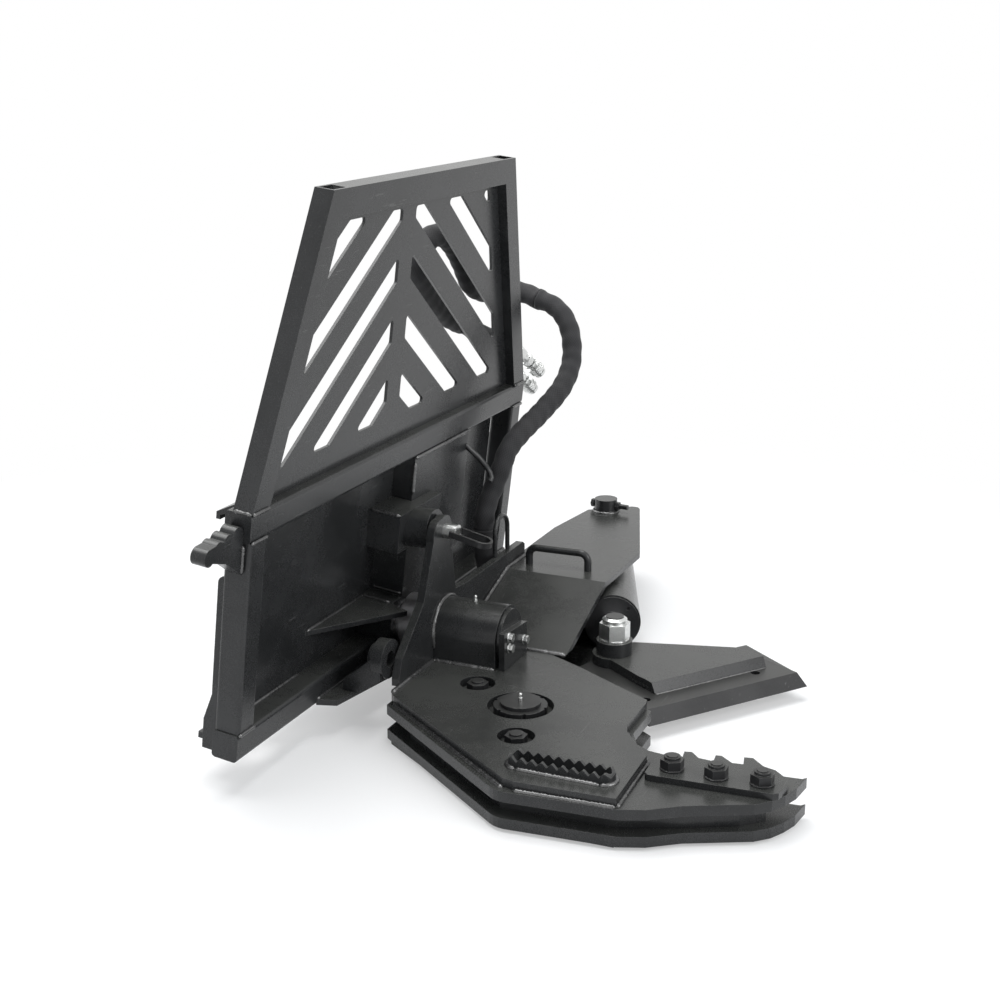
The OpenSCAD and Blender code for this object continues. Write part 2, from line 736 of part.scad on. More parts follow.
module lock_pin() {
    front = back_y - 28;
    color([0.5, 0.5, 0.5]) difference() {
        union() {
            along_y([axis_x, front, arm_top_z], rear_y + 4 - front - 6, lock_pin_r, 64);
            translate([axis_x, rear_y - 2, arm_top_z]) rotate([-90, 0, 0])
                cylinder(r1 = lock_pin_r, r2 = lock_pin_r - 4, h = 6, $fn = 64);
        }
        translate([axis_x, front + 6, arm_top_z]) rotate([0, 90, 0]) cylinder(r = 3.6, h = 80, center = true, $fn = 24);
    }
}

// Flat-bar loop that pulls the lock pin: it lies flat on its cross pin and droops
module pull_handle() {
    front = back_y - 28;
    droop = 13;
    color([0.5, 0.5, 0.5]) translate([axis_x, front + 6, arm_top_z]) {
        rotate([0, 90, 0]) cylinder(r = 3.5, h = 42, center = true, $fn = 24);
        rotate([droop, 0, 0]) translate([0, 0, -6]) linear_extrude(12) difference() {
            union() {
                translate([-21, -58]) square([42, 63]);
                translate([0, -58]) circle(r = 21, $fn = 48);
            }
            union() {
                translate([-16, -58]) square([32, 90]);
                translate([0, -58]) circle(r = 16, $fn = 48);
            }
        }
    }
}

// Blade: knife plate with a ground bevel, and a thicker plate on top of it
module in_knife() {
    rotate([0, 0, knife_angle]) children();
}

module blade_arm_outline() {
    circle(r = hub_r, $fn = 96);
    polygon([[50, -66], [260, -160], [470, -250], [400, -66], [366, -18], [12, 84]]);
}

module knife() {
    z1 = body_z - knife_z;
    color([0.17, 0.17, 0.17]) translate([0, 0, knife_z]) difference() {
        union() {
            linear_extrude(knife_t) {
                blade_arm_outline();
                in_knife() polygon([[232, knife_edge], [knife_len, knife_edge], [knife_len - 9, -62],
                    [knife_len - 19, 30], [knife_len - 70, 66], [386, 188], [232, 60]]);
                translate(rod_pin) circle(r = 44, $fn = 64);
            }
        }
        in_knife() translate([0, knife_edge, z1]) rotate([0, 90, 0])
            translate([0, 0, 150]) linear_extrude(600)
                polygon([[-2, -2], [(knife_t - 1) * (1 + 2 / bevel_w), -2], [-2, bevel_w * (1 + 2 / (knife_t - 1))]]);
        translate([0, 0, -1]) cylinder(r = pivot_r + fit + 5, h = knife_t + 2, $fn = 96);
        translate([rod_pin[0], rod_pin[1], -1]) cylinder(r = rod_bolt_r + fit, h = 60, $fn = 64);
        in_knife() for (x = [267, 533]) translate([x, -22, -1]) cylinder(r = 9.5, h = 60, $fn = 32);
    }
}

module blade_body() {
    color([0.14, 0.14, 0.15]) translate([0, 0, body_z]) difference() {
        union() {
            intersection() {
                linear_extrude(body_t) union() {
                    in_knife() polygon([[293, -11], [569, -11], [571, 0], [551, 68], [389, 195], [293, 195]]);
                    translate(rod_pin) circle(r = 44, $fn = 64);
                }
                in_knife() rotate([90, 0, 90]) linear_extrude(700)
                    polygon([[-12, 0], [1, body_t], [260, body_t], [260, 0]]);
            }
        }
        translate([0, 0, -1]) cylinder(r = 296, h = 40, $fn = 96);
        translate([rod_pin[0], rod_pin[1], -1]) cylinder(r = rod_bolt_r + fit, h = 60, $fn = 64);
        in_knife() for (k = [0 : 4]) translate([292, 12 + 12 * k, body_t / 2 - 1]) rotate([0, 90, 0])
            cylinder(r = 5, h = 4, $fn = 4);
    }
}

module blade_bush() {
    color([0.62, 0.5, 0.28]) translate([0, 0, knife_z]) ring(pivot_r + fit + 4.95, pivot_r + fit, knife_t);
}

module rod_bolt() {
    color([0.5, 0.5, 0.5]) translate([rod_pin[0], rod_pin[1], knife_z]) {
        cylinder(r = rod_bolt_r, h = eye_z + eye_h + 50 - knife_z, $fn = 64);
    }
}

module rod_nut() {
    z = eye_z + eye_h + 0.3;
    color([0.74, 0.74, 0.72]) translate([rod_pin[0], rod_pin[1], z]) difference() {
        union() {
            cylinder(r = 30, h = 3, $fn = 64);
            translate([0, 0, 3]) hex(55, 33);
            translate([0, 0, 36]) cylinder(r = 25, h = 8, $fn = 64);
            translate([0, 0, 44]) cylinder(r1 = 25, r2 = 19.5, h = 4, $fn = 64);
        }
        translate([0, 0, -1]) cylinder(r = rod_bolt_r + 0.02, h = 60, $fn = 64);
    }
}

// Cylinder: rod with its eye, piston, barrel with gland and base eye
module rod_eye() {
    color([0.11, 0.11, 0.12]) at_rod_pin() difference() {
        union() {
            translate([0, 0, eye_z]) cylinder(r = eye_r, h = eye_h, $fn = 96);
            translate([0, -20, eye_z]) cube([64, 40, eye_h]);
            translate([58, 0, rod_z]) rotate([0, 90, 0]) cylinder(r1 = eye_h / 2, r2 = rod_d / 2, h = 12, $fn = 64);
            translate([70, 0, rod_z]) rotate([0, 90, 0]) cylinder(r = rod_d / 2, h = 6, $fn = 64);
        }
        translate([0, 0, eye_z - 1]) cylinder(r = rod_bolt_r + fit, h = eye_h + 2, $fn = 64);
    }
}

module piston_rod() {
    color([0.72, 0.73, 0.74]) at_rod_pin() difference() {
        translate([76, 0, rod_z]) rotate([0, 90, 0]) cylinder(r = rod_d / 2, h = rod_end - 76, $fn = 96);
        translate([rod_end - piston_l, 0, rod_z]) rotate([0, 90, 0])
            ring(rod_d, rod_d / 2 - 6, piston_l + 1);
    }
}

module piston() {
    color([0.55, 0.56, 0.58]) at_rod_pin() translate([rod_end - piston_l, 0, rod_z]) rotate([0, 90, 0])
        difference() {
            cylinder(r = barrel_bore / 2 - fit, h = piston_l - 1, $fn = 96);
            translate([0, 0, -1]) cylinder(r = rod_d / 2 - 5.95, h = piston_l + 2, $fn = 96);
            for (z = [8, 20]) translate([0, 0, z]) ring(barrel_bore, barrel_bore / 2 - 4, 5);
        }
}

module barrel() {
    color([0.12, 0.12, 0.13]) at_rod_pin() {
        translate([gland_off + 6, 0, rod_z]) rotate([0, 90, 0]) difference() {
            cylinder(r = barrel_d / 2, h = barrel_end - gland_off - 6, $fn = 96);
            translate([0, 0, -1]) cylinder(r = barrel_bore / 2, h = barrel_end - gland_off - 18, $fn = 96);
        }
        for (x = [gland_off + 70, barrel_end - 40]) translate([x, 0, rod_z]) rotate([-70, 0, 0])
            difference() {
                cylinder(r = 17, h = barrel_d / 2 + 16, $fn = 48);
                cylinder(r = barrel_d / 2 - 3, h = 1, $fn = 48);
                translate([0, 0, barrel_d / 2 + 4]) cylinder(r = 9, h = 20, $fn = 32);
                translate([0, 0, -1]) cylinder(r = 30, h = barrel_d / 2 - 3, $fn = 48);
            }
    }
}

module gland() {
    color([0.1, 0.1, 0.11]) at_rod_pin() translate([gland_off, 0, rod_z]) rotate([0, 90, 0]) difference() {
        union() {
            cylinder(r = barrel_d / 2 - 3, h = 6, $fn = 96);
            translate([0, 0, 5.9]) cylinder(r = barrel_bore / 2 - 0.02, h = gland_l - 6, $fn = 96);
        }
        translate([0, 0, -1]) cylinder(r = rod_d / 2 + fit, h = gland_l + 2, $fn = 96);
        for (a = [45, 225]) rotate([0, 0, a]) translate([46, 0, -1]) cylinder(r = 4, h = 5, $fn = 24);
    }
}

module base_eye() {
    h = 60;
    color([0.12, 0.12, 0.13]) at_rod_pin() translate([cyl_len, 0, rod_z - h / 2]) difference() {
        union() {
            cylinder(r = 40, h = h, $fn = 96);
            translate([-base_off, -34, 0]) cube([base_off, 68, h]);
        }
        translate([0, 0, -1]) cylinder(r = base_pin_r + fit, h = h + 2, $fn = 96);
    }
}

module base_pin() {
    color([0.6, 0.6, 0.6]) translate([base_pin_at[0], base_pin_at[1], gap_z + 0.3])
        cylinder(r = base_pin_r, h = cover_z - cover_t - gap_z - 0.6, $fn = 96);
}

// Hoses and couplers
module supply_hose() {
    color([0.06, 0.06, 0.07]) swept_tube(supply_route, sleeve_d / 2);
}

module crossing_hose() {
    color([0.06, 0.06, 0.07]) swept_tube(crossing_route, sleeve_d / 2);
}

module head_hose() {
    color([0.06, 0.06, 0.07]) swept_tube(head_route, sleeve_d / 2);
}

module hose_tails() {
    color([0.08, 0.08, 0.09]) for (p = tail_routes) swept_tube(p, tail_d / 2, 8);
}

module at_coupler(i) {
    end = tail_routes[i][5];
    d = unit(end - tail_routes[i][4]);
    translate(end + 0.3 * d) rotate([0, acos(d[2]), atan2(d[1], d[0])]) children();
}

module coupler_bodies() {
    color([0.74, 0.74, 0.7]) for (i = [0, 1]) at_coupler(i) difference() {
        union() {
            hex(26, 22);
            translate([0, 0, 22]) cylinder(r = 11, h = 72, $fn = 48);
            translate([0, 0, 34]) hex(28, 12);
            translate([0, 0, 50]) cylinder(r = 17, h = 4, $fn = 48);
            translate([0, 0, 88]) cylinder(r = 14, h = 6, $fn = 48);
        }
        translate([0, 0, 70]) cylinder(r = 8, h = 60, $fn = 32);
    }
}

module coupler_sleeve(i) {
    color([0.76, 0.76, 0.72]) at_coupler(i) translate([0, 0, 64]) difference() {
        cylinder(r = 18, h = 18, $fn = 64);
        translate([0, 0, -1]) cylinder(r = 11 + fit, h = 30, $fn = 64);
        for (z = [4, 10]) translate([0, 0, z]) ring(30, 17, 2.5);
    }
}

module upper_sleeve() {
    coupler_sleeve(0);
}

module lower_sleeve() {
    coupler_sleeve(1);
}

lower_frame();
frame_end_caps();
guard_frame();
guard_grille();
attach_sheet();
hook_lip();
wedge_flange();
side_ribs();
mast_plate();
hub_box();
upper_gusset();
lower_gusset();
lock_sockets();
turning_shaft();
shaft_retainer();
comb_bracket();
hose_hook();
back_plate();
rear_web();
cover_plate();
upper_jaw();
lower_jaw();
top_plate();
skid_plate();
jaw_spacers();
turning_housing();
turning_bush();
keeper_plate();
keeper_bolts();
grease_nipples();
lift_handle();
tooth_plate();
tooth_bolts();
grip_loop();
jaw_bolts();
pivot_pin();
pivot_ring();
base_collar();
hose_ring();
lock_pin();
pull_handle();
knife();
blade_body();
blade_bush();
rod_bolt();
rod_nut();
rod_eye();
piston_rod();
piston();
barrel();
gland();
base_eye();
base_pin();
supply_hose();
crossing_hose();
head_hose();
hose_tails();
coupler_bodies();
upper_sleeve();
lower_sleeve();
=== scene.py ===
"""Looks of the rotating tree shear: hoses, weld beads, finishes, lights and camera around the CAD frame."""

import json
import logging
import math
import random
from dataclasses import dataclass, field
from enum import Enum
from typing import Callable, Iterable, Sequence, Union

import bpy
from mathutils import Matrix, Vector

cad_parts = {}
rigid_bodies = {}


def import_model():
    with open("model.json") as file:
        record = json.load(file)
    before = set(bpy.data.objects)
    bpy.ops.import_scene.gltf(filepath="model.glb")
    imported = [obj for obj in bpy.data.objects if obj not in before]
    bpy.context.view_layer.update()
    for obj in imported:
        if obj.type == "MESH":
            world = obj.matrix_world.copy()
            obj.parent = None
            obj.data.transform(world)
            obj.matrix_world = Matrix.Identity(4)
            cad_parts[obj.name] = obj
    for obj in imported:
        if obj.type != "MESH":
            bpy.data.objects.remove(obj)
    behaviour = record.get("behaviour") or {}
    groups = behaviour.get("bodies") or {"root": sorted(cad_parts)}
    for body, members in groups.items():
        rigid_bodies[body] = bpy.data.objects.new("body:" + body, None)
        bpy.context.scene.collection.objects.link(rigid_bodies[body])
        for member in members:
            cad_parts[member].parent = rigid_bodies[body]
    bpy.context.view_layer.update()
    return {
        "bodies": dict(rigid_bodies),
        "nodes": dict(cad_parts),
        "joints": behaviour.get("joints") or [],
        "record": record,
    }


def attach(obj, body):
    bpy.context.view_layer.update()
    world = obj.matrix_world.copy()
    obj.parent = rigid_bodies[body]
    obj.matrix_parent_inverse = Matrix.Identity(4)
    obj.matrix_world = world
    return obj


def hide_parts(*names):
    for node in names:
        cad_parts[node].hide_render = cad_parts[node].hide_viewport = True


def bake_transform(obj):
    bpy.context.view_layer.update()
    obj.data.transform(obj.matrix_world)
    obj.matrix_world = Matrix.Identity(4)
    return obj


LOG = logging.getLogger("tree_shear")
MM = 0.001
# Forward lean of the mount frame
LEAN = math.radians(6.85)
# Middle of the frame's lower edge at its front face, in mm
FRAME_CORNER = (196.0, 373.0, 67.0)
# Turn of the knife from the row's X axis, in degrees
KNIFE_TURN = -36.3
# Steps between two given points of a rounded line
SPLINE_PARTS = 24
# Share of the turn on each side of a tube's texture seam
SEAM_SHARE = 0.2

Flat = tuple[float, float]
Point = tuple[float, float, float]
Radius = Callable[[int, float], float]
Value = Union["Sock", float, int, tuple]


class Body(Enum):
    """The bodies of the record that scene pieces ride on."""

    FRAME = "mount_frame"
    HEAD = "shear_head"
    BLADE = "blade"


class Slot(Enum):
    """The material slots of the record."""

    PAINT = "dark_paint"
    BLACK = "black_steel"
    STEEL = "bare_steel"
    ZINC = "zinc_steel"
    CHROME = "chrome_rod"
    BRONZE = "bronze"
    SLEEVE = "sleeve"
    RUBBER = "hose_rubber"


class Around(Enum):
    """The axis that a round bead runs around."""

    BACKWARD = "Y"
    UPWARD = "Z"


def on_frame(x: float, y: float, z: float) -> Point:
    """Turn a point of the upright mount frame into the row frame.

    Args:
        x: Distance to the right of the frame's centre, in mm.
        y: Distance behind the tubes' front face, in mm.
        z: Height above the frame's lower edge, in mm.

    Returns:
        The point in the row frame, in mm.
    """
    c, s = math.cos(LEAN), math.sin(LEAN)
    return (
        FRAME_CORNER[0] + x,
        FRAME_CORNER[1] + y * c - z * s,
        FRAME_CORNER[2] + y * s + z * c,
    )


def turned(point: Flat, degrees: float) -> Flat:
    """Turn a point around the row's vertical axis.

    Args:
        point: The point seen from above.
        degrees: Turn, counter-clockwise.

    Returns:
        The turned point.
    """
    c, s = math.cos(math.radians(degrees)), math.sin(math.radians(degrees))
    return point[0] * c - point[1] * s, point[0] * s + point[1] * c


def brighter(colour: Point, gain: float, lift: float) -> Point:
    """Make a colour brighter, up to white.

    Args:
        colour: The colour.
        gain: What each channel is multiplied by.
        lift: What each channel then gains.

    Returns:
        The brighter colour.
    """
    return tuple(min(1.0, channel * gain + lift) for channel in colour)


class Sock:
    """A shader socket that can be used in Python expressions."""

    def __init__(self, graph: "Graph", socket: bpy.types.NodeSocket) -> None:
        """Keep the socket and the graph it belongs to.

        Args:
            graph: The node tree.
            socket: The output that is used.
        """
        self.graph = graph
        self.socket = socket

    def math(self, operation: str, first: Value, second: Value) -> "Sock":
        """Add one Math node.

        Args:
            operation: The Math node's operation.
            first: Its first value or link.
            second: Its second value or link.

        Returns:
            The node's result.
        """
        return self.graph.node("ShaderNodeMath", {"operation": operation}, {0: first, 1: second})

    def __add__(self, other: Value) -> "Sock":
        """Sum."""
        return self.math("ADD", self, other)

    def __radd__(self, other: Value) -> "Sock":
        """Sum, reflected."""
        return self.math("ADD", other, self)

    def __sub__(self, other: Value) -> "Sock":
        """Difference."""
        return self.math("SUBTRACT", self, other)

    def __rsub__(self, other: Value) -> "Sock":
        """Difference, reflected."""
        return self.math("SUBTRACT", other, self)

    def __mul__(self, other: Value) -> "Sock":
        """Product."""
        return self.math("MULTIPLY", self, other)

    def __rmul__(self, other: Value) -> "Sock":
        """Product, reflected."""
        return self.math("MULTIPLY", other, self)

    def above(self, low: float, high: float) -> "Sock":
        """Map low..high to 0..1, and clamp.

        Args:
            low: The value that becomes 0.
            high: The value that becomes 1.

        Returns:
            The clamped share.
        """
        return self.graph.node(
            "ShaderNodeMapRange", {"clamp": True}, {"Value": self, "From Min": low, "From Max": high}
        )


class Graph:
    """The node tree of one material."""

    def __init__(self, name: str) -> None:
        """Make an empty material.

        Args:
            name: The material's name.
        """
        self.material = bpy.data.materials.new(name)
        self.material.use_nodes = True
        self.tree = self.material.node_tree
        self.tree.nodes.clear()

    def node(self, kind: str, settings: dict, inputs: dict, output: int | str = 0) -> Sock:
        """Add any node.

        Args:
            kind: The node's type.
            settings: Its own properties, set first.
            inputs: Values or links by socket name or number.
            output: Which output is returned.

        Returns:
            That output.
        """
        made = self.tree.nodes.new(kind)
        for key, value in settings.items():
            setattr(made, key, value)
        for key, value in inputs.items():
            socket = made.inputs[key]
            if isinstance(value, Sock):
                self.tree.links.new(value.socket, socket)
            else:
                socket.default_value = value
        return Sock(self, made.outputs[output])

    def noise(self, where: Value, scale: float, detail: float = 3.0, rough: float = 0.55) -> Sock:
        """Add a noise texture.

        Args:
            where: The coordinates.
            scale: Cells a metre.
            detail: Number of octaves.
            rough: Share kept from one octave to the next.

        Returns:
            Its factor.
        """
        inputs = {"Vector": where, "Scale": scale, "Detail": detail, "Roughness": rough}
        return self.node("ShaderNodeTexNoise", {}, inputs)

    def mix(self, share: Value, first: Value, second: Value) -> Sock:
        """Mix two colours.

        Args:
            share: How much of the second one.
            first: The colour at 0.
            second: The colour at 1.

        Returns:
            The mixed colour.
        """
        made = self.tree.nodes.new("ShaderNodeMix")
        made.data_type = "RGBA"
        for index, value in ((0, share), (6, first), (7, second)):
            if isinstance(value, Sock):
                self.tree.links.new(value.socket, made.inputs[index])
            elif isinstance(value, tuple):
                made.inputs[index].default_value = (*value, 1.0)
            else:
                made.inputs[index].default_value = value
        return Sock(self, made.outputs[2])

    def place(self, stretch: Point = (1.0, 1.0, 1.0)) -> Sock:
        """Object coordinates, stretched.

        Args:
            stretch: Scale along X, Y and Z.

        Returns:
            The coordinates.
        """
        raw = self.node("ShaderNodeTexCoord", {}, {}, "Object")
        return self.node("ShaderNodeMapping", {}, {"Vector": raw, "Scale": stretch})

    def edges(self, radius: float) -> tuple[Sock, Sock]:
        """Find sharp edges with a Bevel node.

        Args:
            radius: Reach of the edge, in metres.

        Returns:
            The rounded normal, and a mask that is high at edges.
        """
        soft = self.node("ShaderNodeBevel", {"samples": 4}, {"Radius": radius})
        flat = self.node("ShaderNodeNewGeometry", {}, {}, "Normal")
        dot = self.node("ShaderNodeVectorMath", {"operation": "DOT_PRODUCT"}, {0: soft, 1: flat}, "Value")
        return soft, (1.0 - dot).above(0.03, 0.3)

    def finish(self, sockets: dict) -> bpy.types.Material:
        """Close the graph with one surface shader.

        Args:
            sockets: Values or links of the shader.

        Returns:
            The material.
        """
        shader = self.node("ShaderNodeBsdfPrincipled", {}, sockets)
        out = self.tree.nodes.new("ShaderNodeOutputMaterial")
        self.tree.links.new(shader.socket, out.inputs["Surface"])
        return self.material


@dataclass(frozen=True)
class MetalFinish:
    """A painted, plated or bare metal surface with grain, cloudy patches, worn edges and a painted highlight
    along every edge.
    """

    name: str
    colour: Point
    # Colour of worn spots, scratches and the painted edge highlight
    worn_and_highlit: Point
    metallic: float
    roughness: float
    spread: float = 0.12
    grain: float = 900.0
    grain_depth: float = 0.06
    patches: float = 0.25
    patch_scale: float = 7.0
    # Strength of wear, scratches and the painted edge highlight
    wear_and_edge_highlight: float = 0.25
    chip_scale: float = 55.0
    scratch_scale: float = 46.0
    edge: float = 0.0012
    gloss: float = 0.5
    # Strength of the painted top light on faces that point up
    painted_top_light: float = 0.0
    # Colour of the painted top light on faces that point up
    dust_and_top_light_colour: Point = (0.098, 0.1, 0.088)
    brushed: Point = (1.0, 1.0, 1.0)

    def build(self) -> bpy.types.Material:
        """Make the material.

        Returns:
            The material, ready for its pieces.
        """
        g = Graph(self.name)
        fine = g.noise(g.place(self.brushed), self.grain, 3.0, 0.6)
        cloud = g.noise(g.place(), self.patch_scale, 5.0, 0.6)
        scuff = g.noise(g.place((1.0, 1.7, 0.6)), self.chip_scale, 6.0, 0.7)
        soft, edge = g.edges(self.edge)
        # Every edge gets a painted highlight (the 0.3 share), with worn chips on top of it
        worn_and_highlit_edges = edge * (scuff.above(0.47, 0.6) * 0.7 + 0.3) * self.wear_and_edge_highlight
        streaks = g.noise(g.place((0.25, 6.0, 3.0)), self.scratch_scale, 4.0, 0.6)
        scratches = streaks.above(0.66, 0.72) * 0.35 * self.wear_and_edge_highlight
        light = brighter(self.colour, 1.0 + self.patches * 2.2, 0.003)
        base = g.mix(cloud.above(0.35, 0.7), self.colour, light)
        grit = g.mix(fine.above(0.4, 0.72) * 0.6, base, brighter(self.colour, 2.1, 0.008))
        worn_and_highlit = g.mix(worn_and_highlit_edges + scratches, self._add_painted_top_light(g, grit, cloud, fine), self.worn_and_highlit)
        uneven = (cloud - 0.5) * self.spread * 2.0 + (fine - 0.5) * self.spread
        height = fine + scuff * 0.6
        relief = {"Strength": 0.35, "Distance": self.grain_depth * MM, "Height": height, "Normal": soft}
        return g.finish(
            {
                "Base Color": worn_and_highlit,
                "Roughness": uneven + self.roughness + worn_and_highlit_edges * 0.1,
                "Metallic": self.metallic,
                "Specular IOR Level": self.gloss,
                "Normal": g.node("ShaderNodeBump", {}, relief),
            }
        )

    def _add_painted_top_light(self, g: Graph, under: Sock, cloud: Sock, fine: Sock) -> Sock:
        """Paint the faces that point up in the row's own frame lighter grey, in patches: a painted top light.

        Args:
            g: The material's graph.
            under: The colour below the painted top light.
            cloud: Slow noise.
            fine: Quick noise.

        Returns:
            The colour with its painted top light.
        """
        if not self.painted_top_light:
            return under
        # Faces that point up are painted lighter grey: painted top light
        facing = g.node("ShaderNodeTexCoord", {}, {}, "Normal")
        up = g.node("ShaderNodeSeparateXYZ", {}, {"Vector": facing}, "Z").above(0.6, 0.97)
        share = up * (cloud.above(0.28, 0.68) * 0.6 + 0.4) * (fine * 0.8 + 0.6) * self.painted_top_light
        return g.mix(share, under, self.dust_and_top_light_colour)


@dataclass(frozen=True)
class SleeveFinish:
    """Woven textile sleeve, drawn along and around the hose, with fuzzy threads."""

    name: str
    colour: Point = (0.006, 0.006, 0.007)
    thread: Point = (0.024, 0.024, 0.027)
    dust_and_top_light_colour: Point = (0.04, 0.038, 0.037)
    around: float = 26.0
    along: float = 150.0
    fuzz_scale: float = 1800.0
    cloud_scale: float = 9.0

    def build(self) -> bpy.types.Material:
        """Make the material.

        Returns:
            The material, ready for its pieces.
        """
        g = Graph(self.name)
        place = g.node("ShaderNodeUVMap", {"uv_map": "weave"}, {})
        across = self._wave(g, g.node("ShaderNodeSeparateXYZ", {}, {"Vector": place}, "X"), self.around)
        down = self._wave(g, g.node("ShaderNodeSeparateXYZ", {}, {"Vector": place}, "Y"), self.along)
        weave = across * down * 0.5 + 0.5
        fuzz = g.noise(g.place(), self.fuzz_scale, 3.0, 0.7)
        cloud = g.noise(g.place(), self.cloud_scale, 3.0, 0.5)
        colour = g.mix((weave * 0.7 + fuzz * 0.5).above(0.45, 1.05), self.colour, self.thread)
        dusty = g.mix(cloud.above(0.5, 0.75) * 0.25, colour, self.dust_and_top_light_colour)
        relief = {"Strength": 0.6, "Distance": 0.5 * MM, "Height": weave + fuzz * 0.35}
        return g.finish(
            {
                "Base Color": dusty,
                "Roughness": 0.72 + fuzz * 0.2,
                "Normal": g.node("ShaderNodeBump", {}, relief),
                "Sheen Weight": 0.08,
            }
        )

    @staticmethod
    def _wave(g: Graph, value: Sock, count: float) -> Sock:
        """Sine of value times count turns."""
        return g.node("ShaderNodeMath", {"operation": "SINE"}, {0: value * (count * math.tau)})


@dataclass(frozen=True)
class RubberFinish:
    """Smooth black hose cover with faint wrap marks and dust."""

    name: str
    colour: Point = (0.018, 0.018, 0.019)
    dust_and_top_light_colour: Point = (0.05, 0.05, 0.05)
    grain: float = 700.0
    cloud_scale: float = 14.0

    def build(self) -> bpy.types.Material:
        """Make the material.

        Returns:
            The material, ready for its pieces.
        """
        g = Graph(self.name)
        fine = g.noise(g.place(), self.grain, 4.0, 0.6)
        cloud = g.noise(g.place(), self.cloud_scale, 4.0, 0.6)
        base = g.mix(cloud.above(0.4, 0.75) * 0.6, self.colour, self.dust_and_top_light_colour)
        bump = g.node("ShaderNodeBump", {}, {"Strength": 0.4, "Distance": 0.2 * MM, "Height": fine})
        return g.finish({"Base Color": base, "Roughness": 0.42 + cloud * 0.25, "Normal": bump})


METALS: dict[Slot, MetalFinish] = {
    Slot.PAINT: MetalFinish(
        "charcoal_paint",
        colour=(0.0125, 0.013, 0.0135),
        worn_and_highlit=(0.17, 0.17, 0.165),
        metallic=0.0,
        roughness=0.27,
        grain=520.0,
        grain_depth=0.1,
        patches=0.4,
        gloss=0.38,
        painted_top_light=0.34,
        wear_and_edge_highlight=0.75,
    ),
    Slot.BLACK: MetalFinish(
        "blackened_steel",
        colour=(0.02, 0.02, 0.021),
        worn_and_highlit=(0.26, 0.26, 0.26),
        metallic=0.4,
        roughness=0.34,
        gloss=0.35,
        painted_top_light=0.3,
        wear_and_edge_highlight=0.8,
    ),
    Slot.STEEL: MetalFinish(
        "machined_steel",
        colour=(0.36, 0.36, 0.37),
        worn_and_highlit=(0.6, 0.6, 0.6),
        metallic=1.0,
        roughness=0.32,
        brushed=(1.0, 1.0, 12.0),
    ),
    Slot.ZINC: MetalFinish(
        "zinc_plate",
        colour=(0.5, 0.51, 0.5),
        worn_and_highlit=(0.75, 0.75, 0.76),
        metallic=0.95,
        roughness=0.3,
        patches=0.15,
        wear_and_edge_highlight=0.4,
    ),
    Slot.CHROME: MetalFinish(
        "chrome",
        colour=(0.7, 0.71, 0.72),
        worn_and_highlit=(0.8, 0.8, 0.8),
        metallic=1.0,
        roughness=0.1,
        spread=0.04,
        grain_depth=0.01,
        wear_and_edge_highlight=0.0,
    ),
    Slot.BRONZE: MetalFinish(
        "bronze_bush",
        colour=(0.4, 0.26, 0.1),
        worn_and_highlit=(0.6, 0.42, 0.2),
        metallic=1.0,
        roughness=0.35,
        wear_and_edge_highlight=0.2,
    ),
}
# Weld finish: the bright grain, cloudy patches and light worn colour are painted glints on the dark beads,
# along with some worn paint
GLINTING_WELD = MetalFinish(
    "weld_with_painted_glints",
    colour=(0.06, 0.06, 0.06),
    worn_and_highlit=(0.5, 0.5, 0.49),
    metallic=0.75,
    roughness=0.27,
    grain=330.0,
    grain_depth=0.7,
    patches=0.9,
    wear_and_edge_highlight=1.0,
)


class Finishes:
    """All materials of the shear, by slot."""

    darkened: tuple[str, ...] = ("tooth_bolts", "rod_bolt", "pull_handle")

    def __init__(self) -> None:
        """Build each finish once."""
        self.by_slot: dict[Slot, bpy.types.Material] = {
            slot: metal.build() for slot, metal in METALS.items()
        }
        self.by_slot[Slot.SLEEVE] = SleeveFinish("woven_sleeve").build()
        self.by_slot[Slot.RUBBER] = RubberFinish("hose_cover").build()
        self.weld = GLINTING_WELD.build()

    def put(self, thing: bpy.types.Object, material: bpy.types.Material) -> None:
        """Give a mesh one material.

        Args:
            thing: The mesh object.
            material: Its material.
        """
        thing.data.materials.clear()
        thing.data.materials.append(material)

    def dress_nodes(self, frame: dict) -> None:
        """Give every CAD node the finish of its slot, and the darkened ones black steel.
        """
        slots = {part["node"]: part["material_slot"] for part in frame["record"]["subparts"]}
        slots.update(dict.fromkeys(self.darkened, Slot.BLACK.value))
        for name, thing in frame["nodes"].items():
            material = self.by_slot[Slot(slots[name])]
            for index in range(max(1, len(thing.material_slots))):
                if thing.material_slots:
                    thing.material_slots[index].material = material
                else:
                    self.put(thing, material)


def smooth_line(points: Sequence[Point], step: float) -> list[Vector]:
    """Draw a rounded line through points.

    Args:
        points: The points, in mm.
        step: Distance between the points that are returned, in mm.

    Returns:
        Evenly spaced points, in mm.
    """
    given = [Vector(p) for p in points]
    first = given[0] * 2 - given[1]
    last = given[-1] * 2 - given[-2]
    ends = [first, *given, last]
    dense: list[Vector] = []
    for i in range(1, len(ends) - 2):
        a, b, c, d = ends[i - 1 : i + 3]
        for k in range(SPLINE_PARTS):
            t = k / SPLINE_PARTS
            square = (2 * a - 5 * b + 4 * c - d) * t**2
            cube = (3 * b - a - 3 * c + d) * t**3
            dense.append(0.5 * (2 * b + (c - a) * t + square + cube))
    dense.append(given[-1])
    lengths = [0.0]
    for p, q in zip(dense, dense[1:]):
        lengths.append(lengths[-1] + (q - p).length)
    count = max(2, round(lengths[-1] / step))
    out, at = [], 0
    for k in range(count + 1):
        want = lengths[-1] * k / count
        while at < len(lengths) - 2 and lengths[at + 1] < want:
            at += 1
        span = max(1e-9, lengths[at + 1] - lengths[at])
        out.append(dense[at].lerp(dense[at + 1], min(1.0, (want - lengths[at]) / span)))
    return out


def line_length(points: Sequence[Vector]) -> float:
    """Length of a line of points, in their unit."""
    return sum((q - p).length for p, q in zip(points, points[1:]))


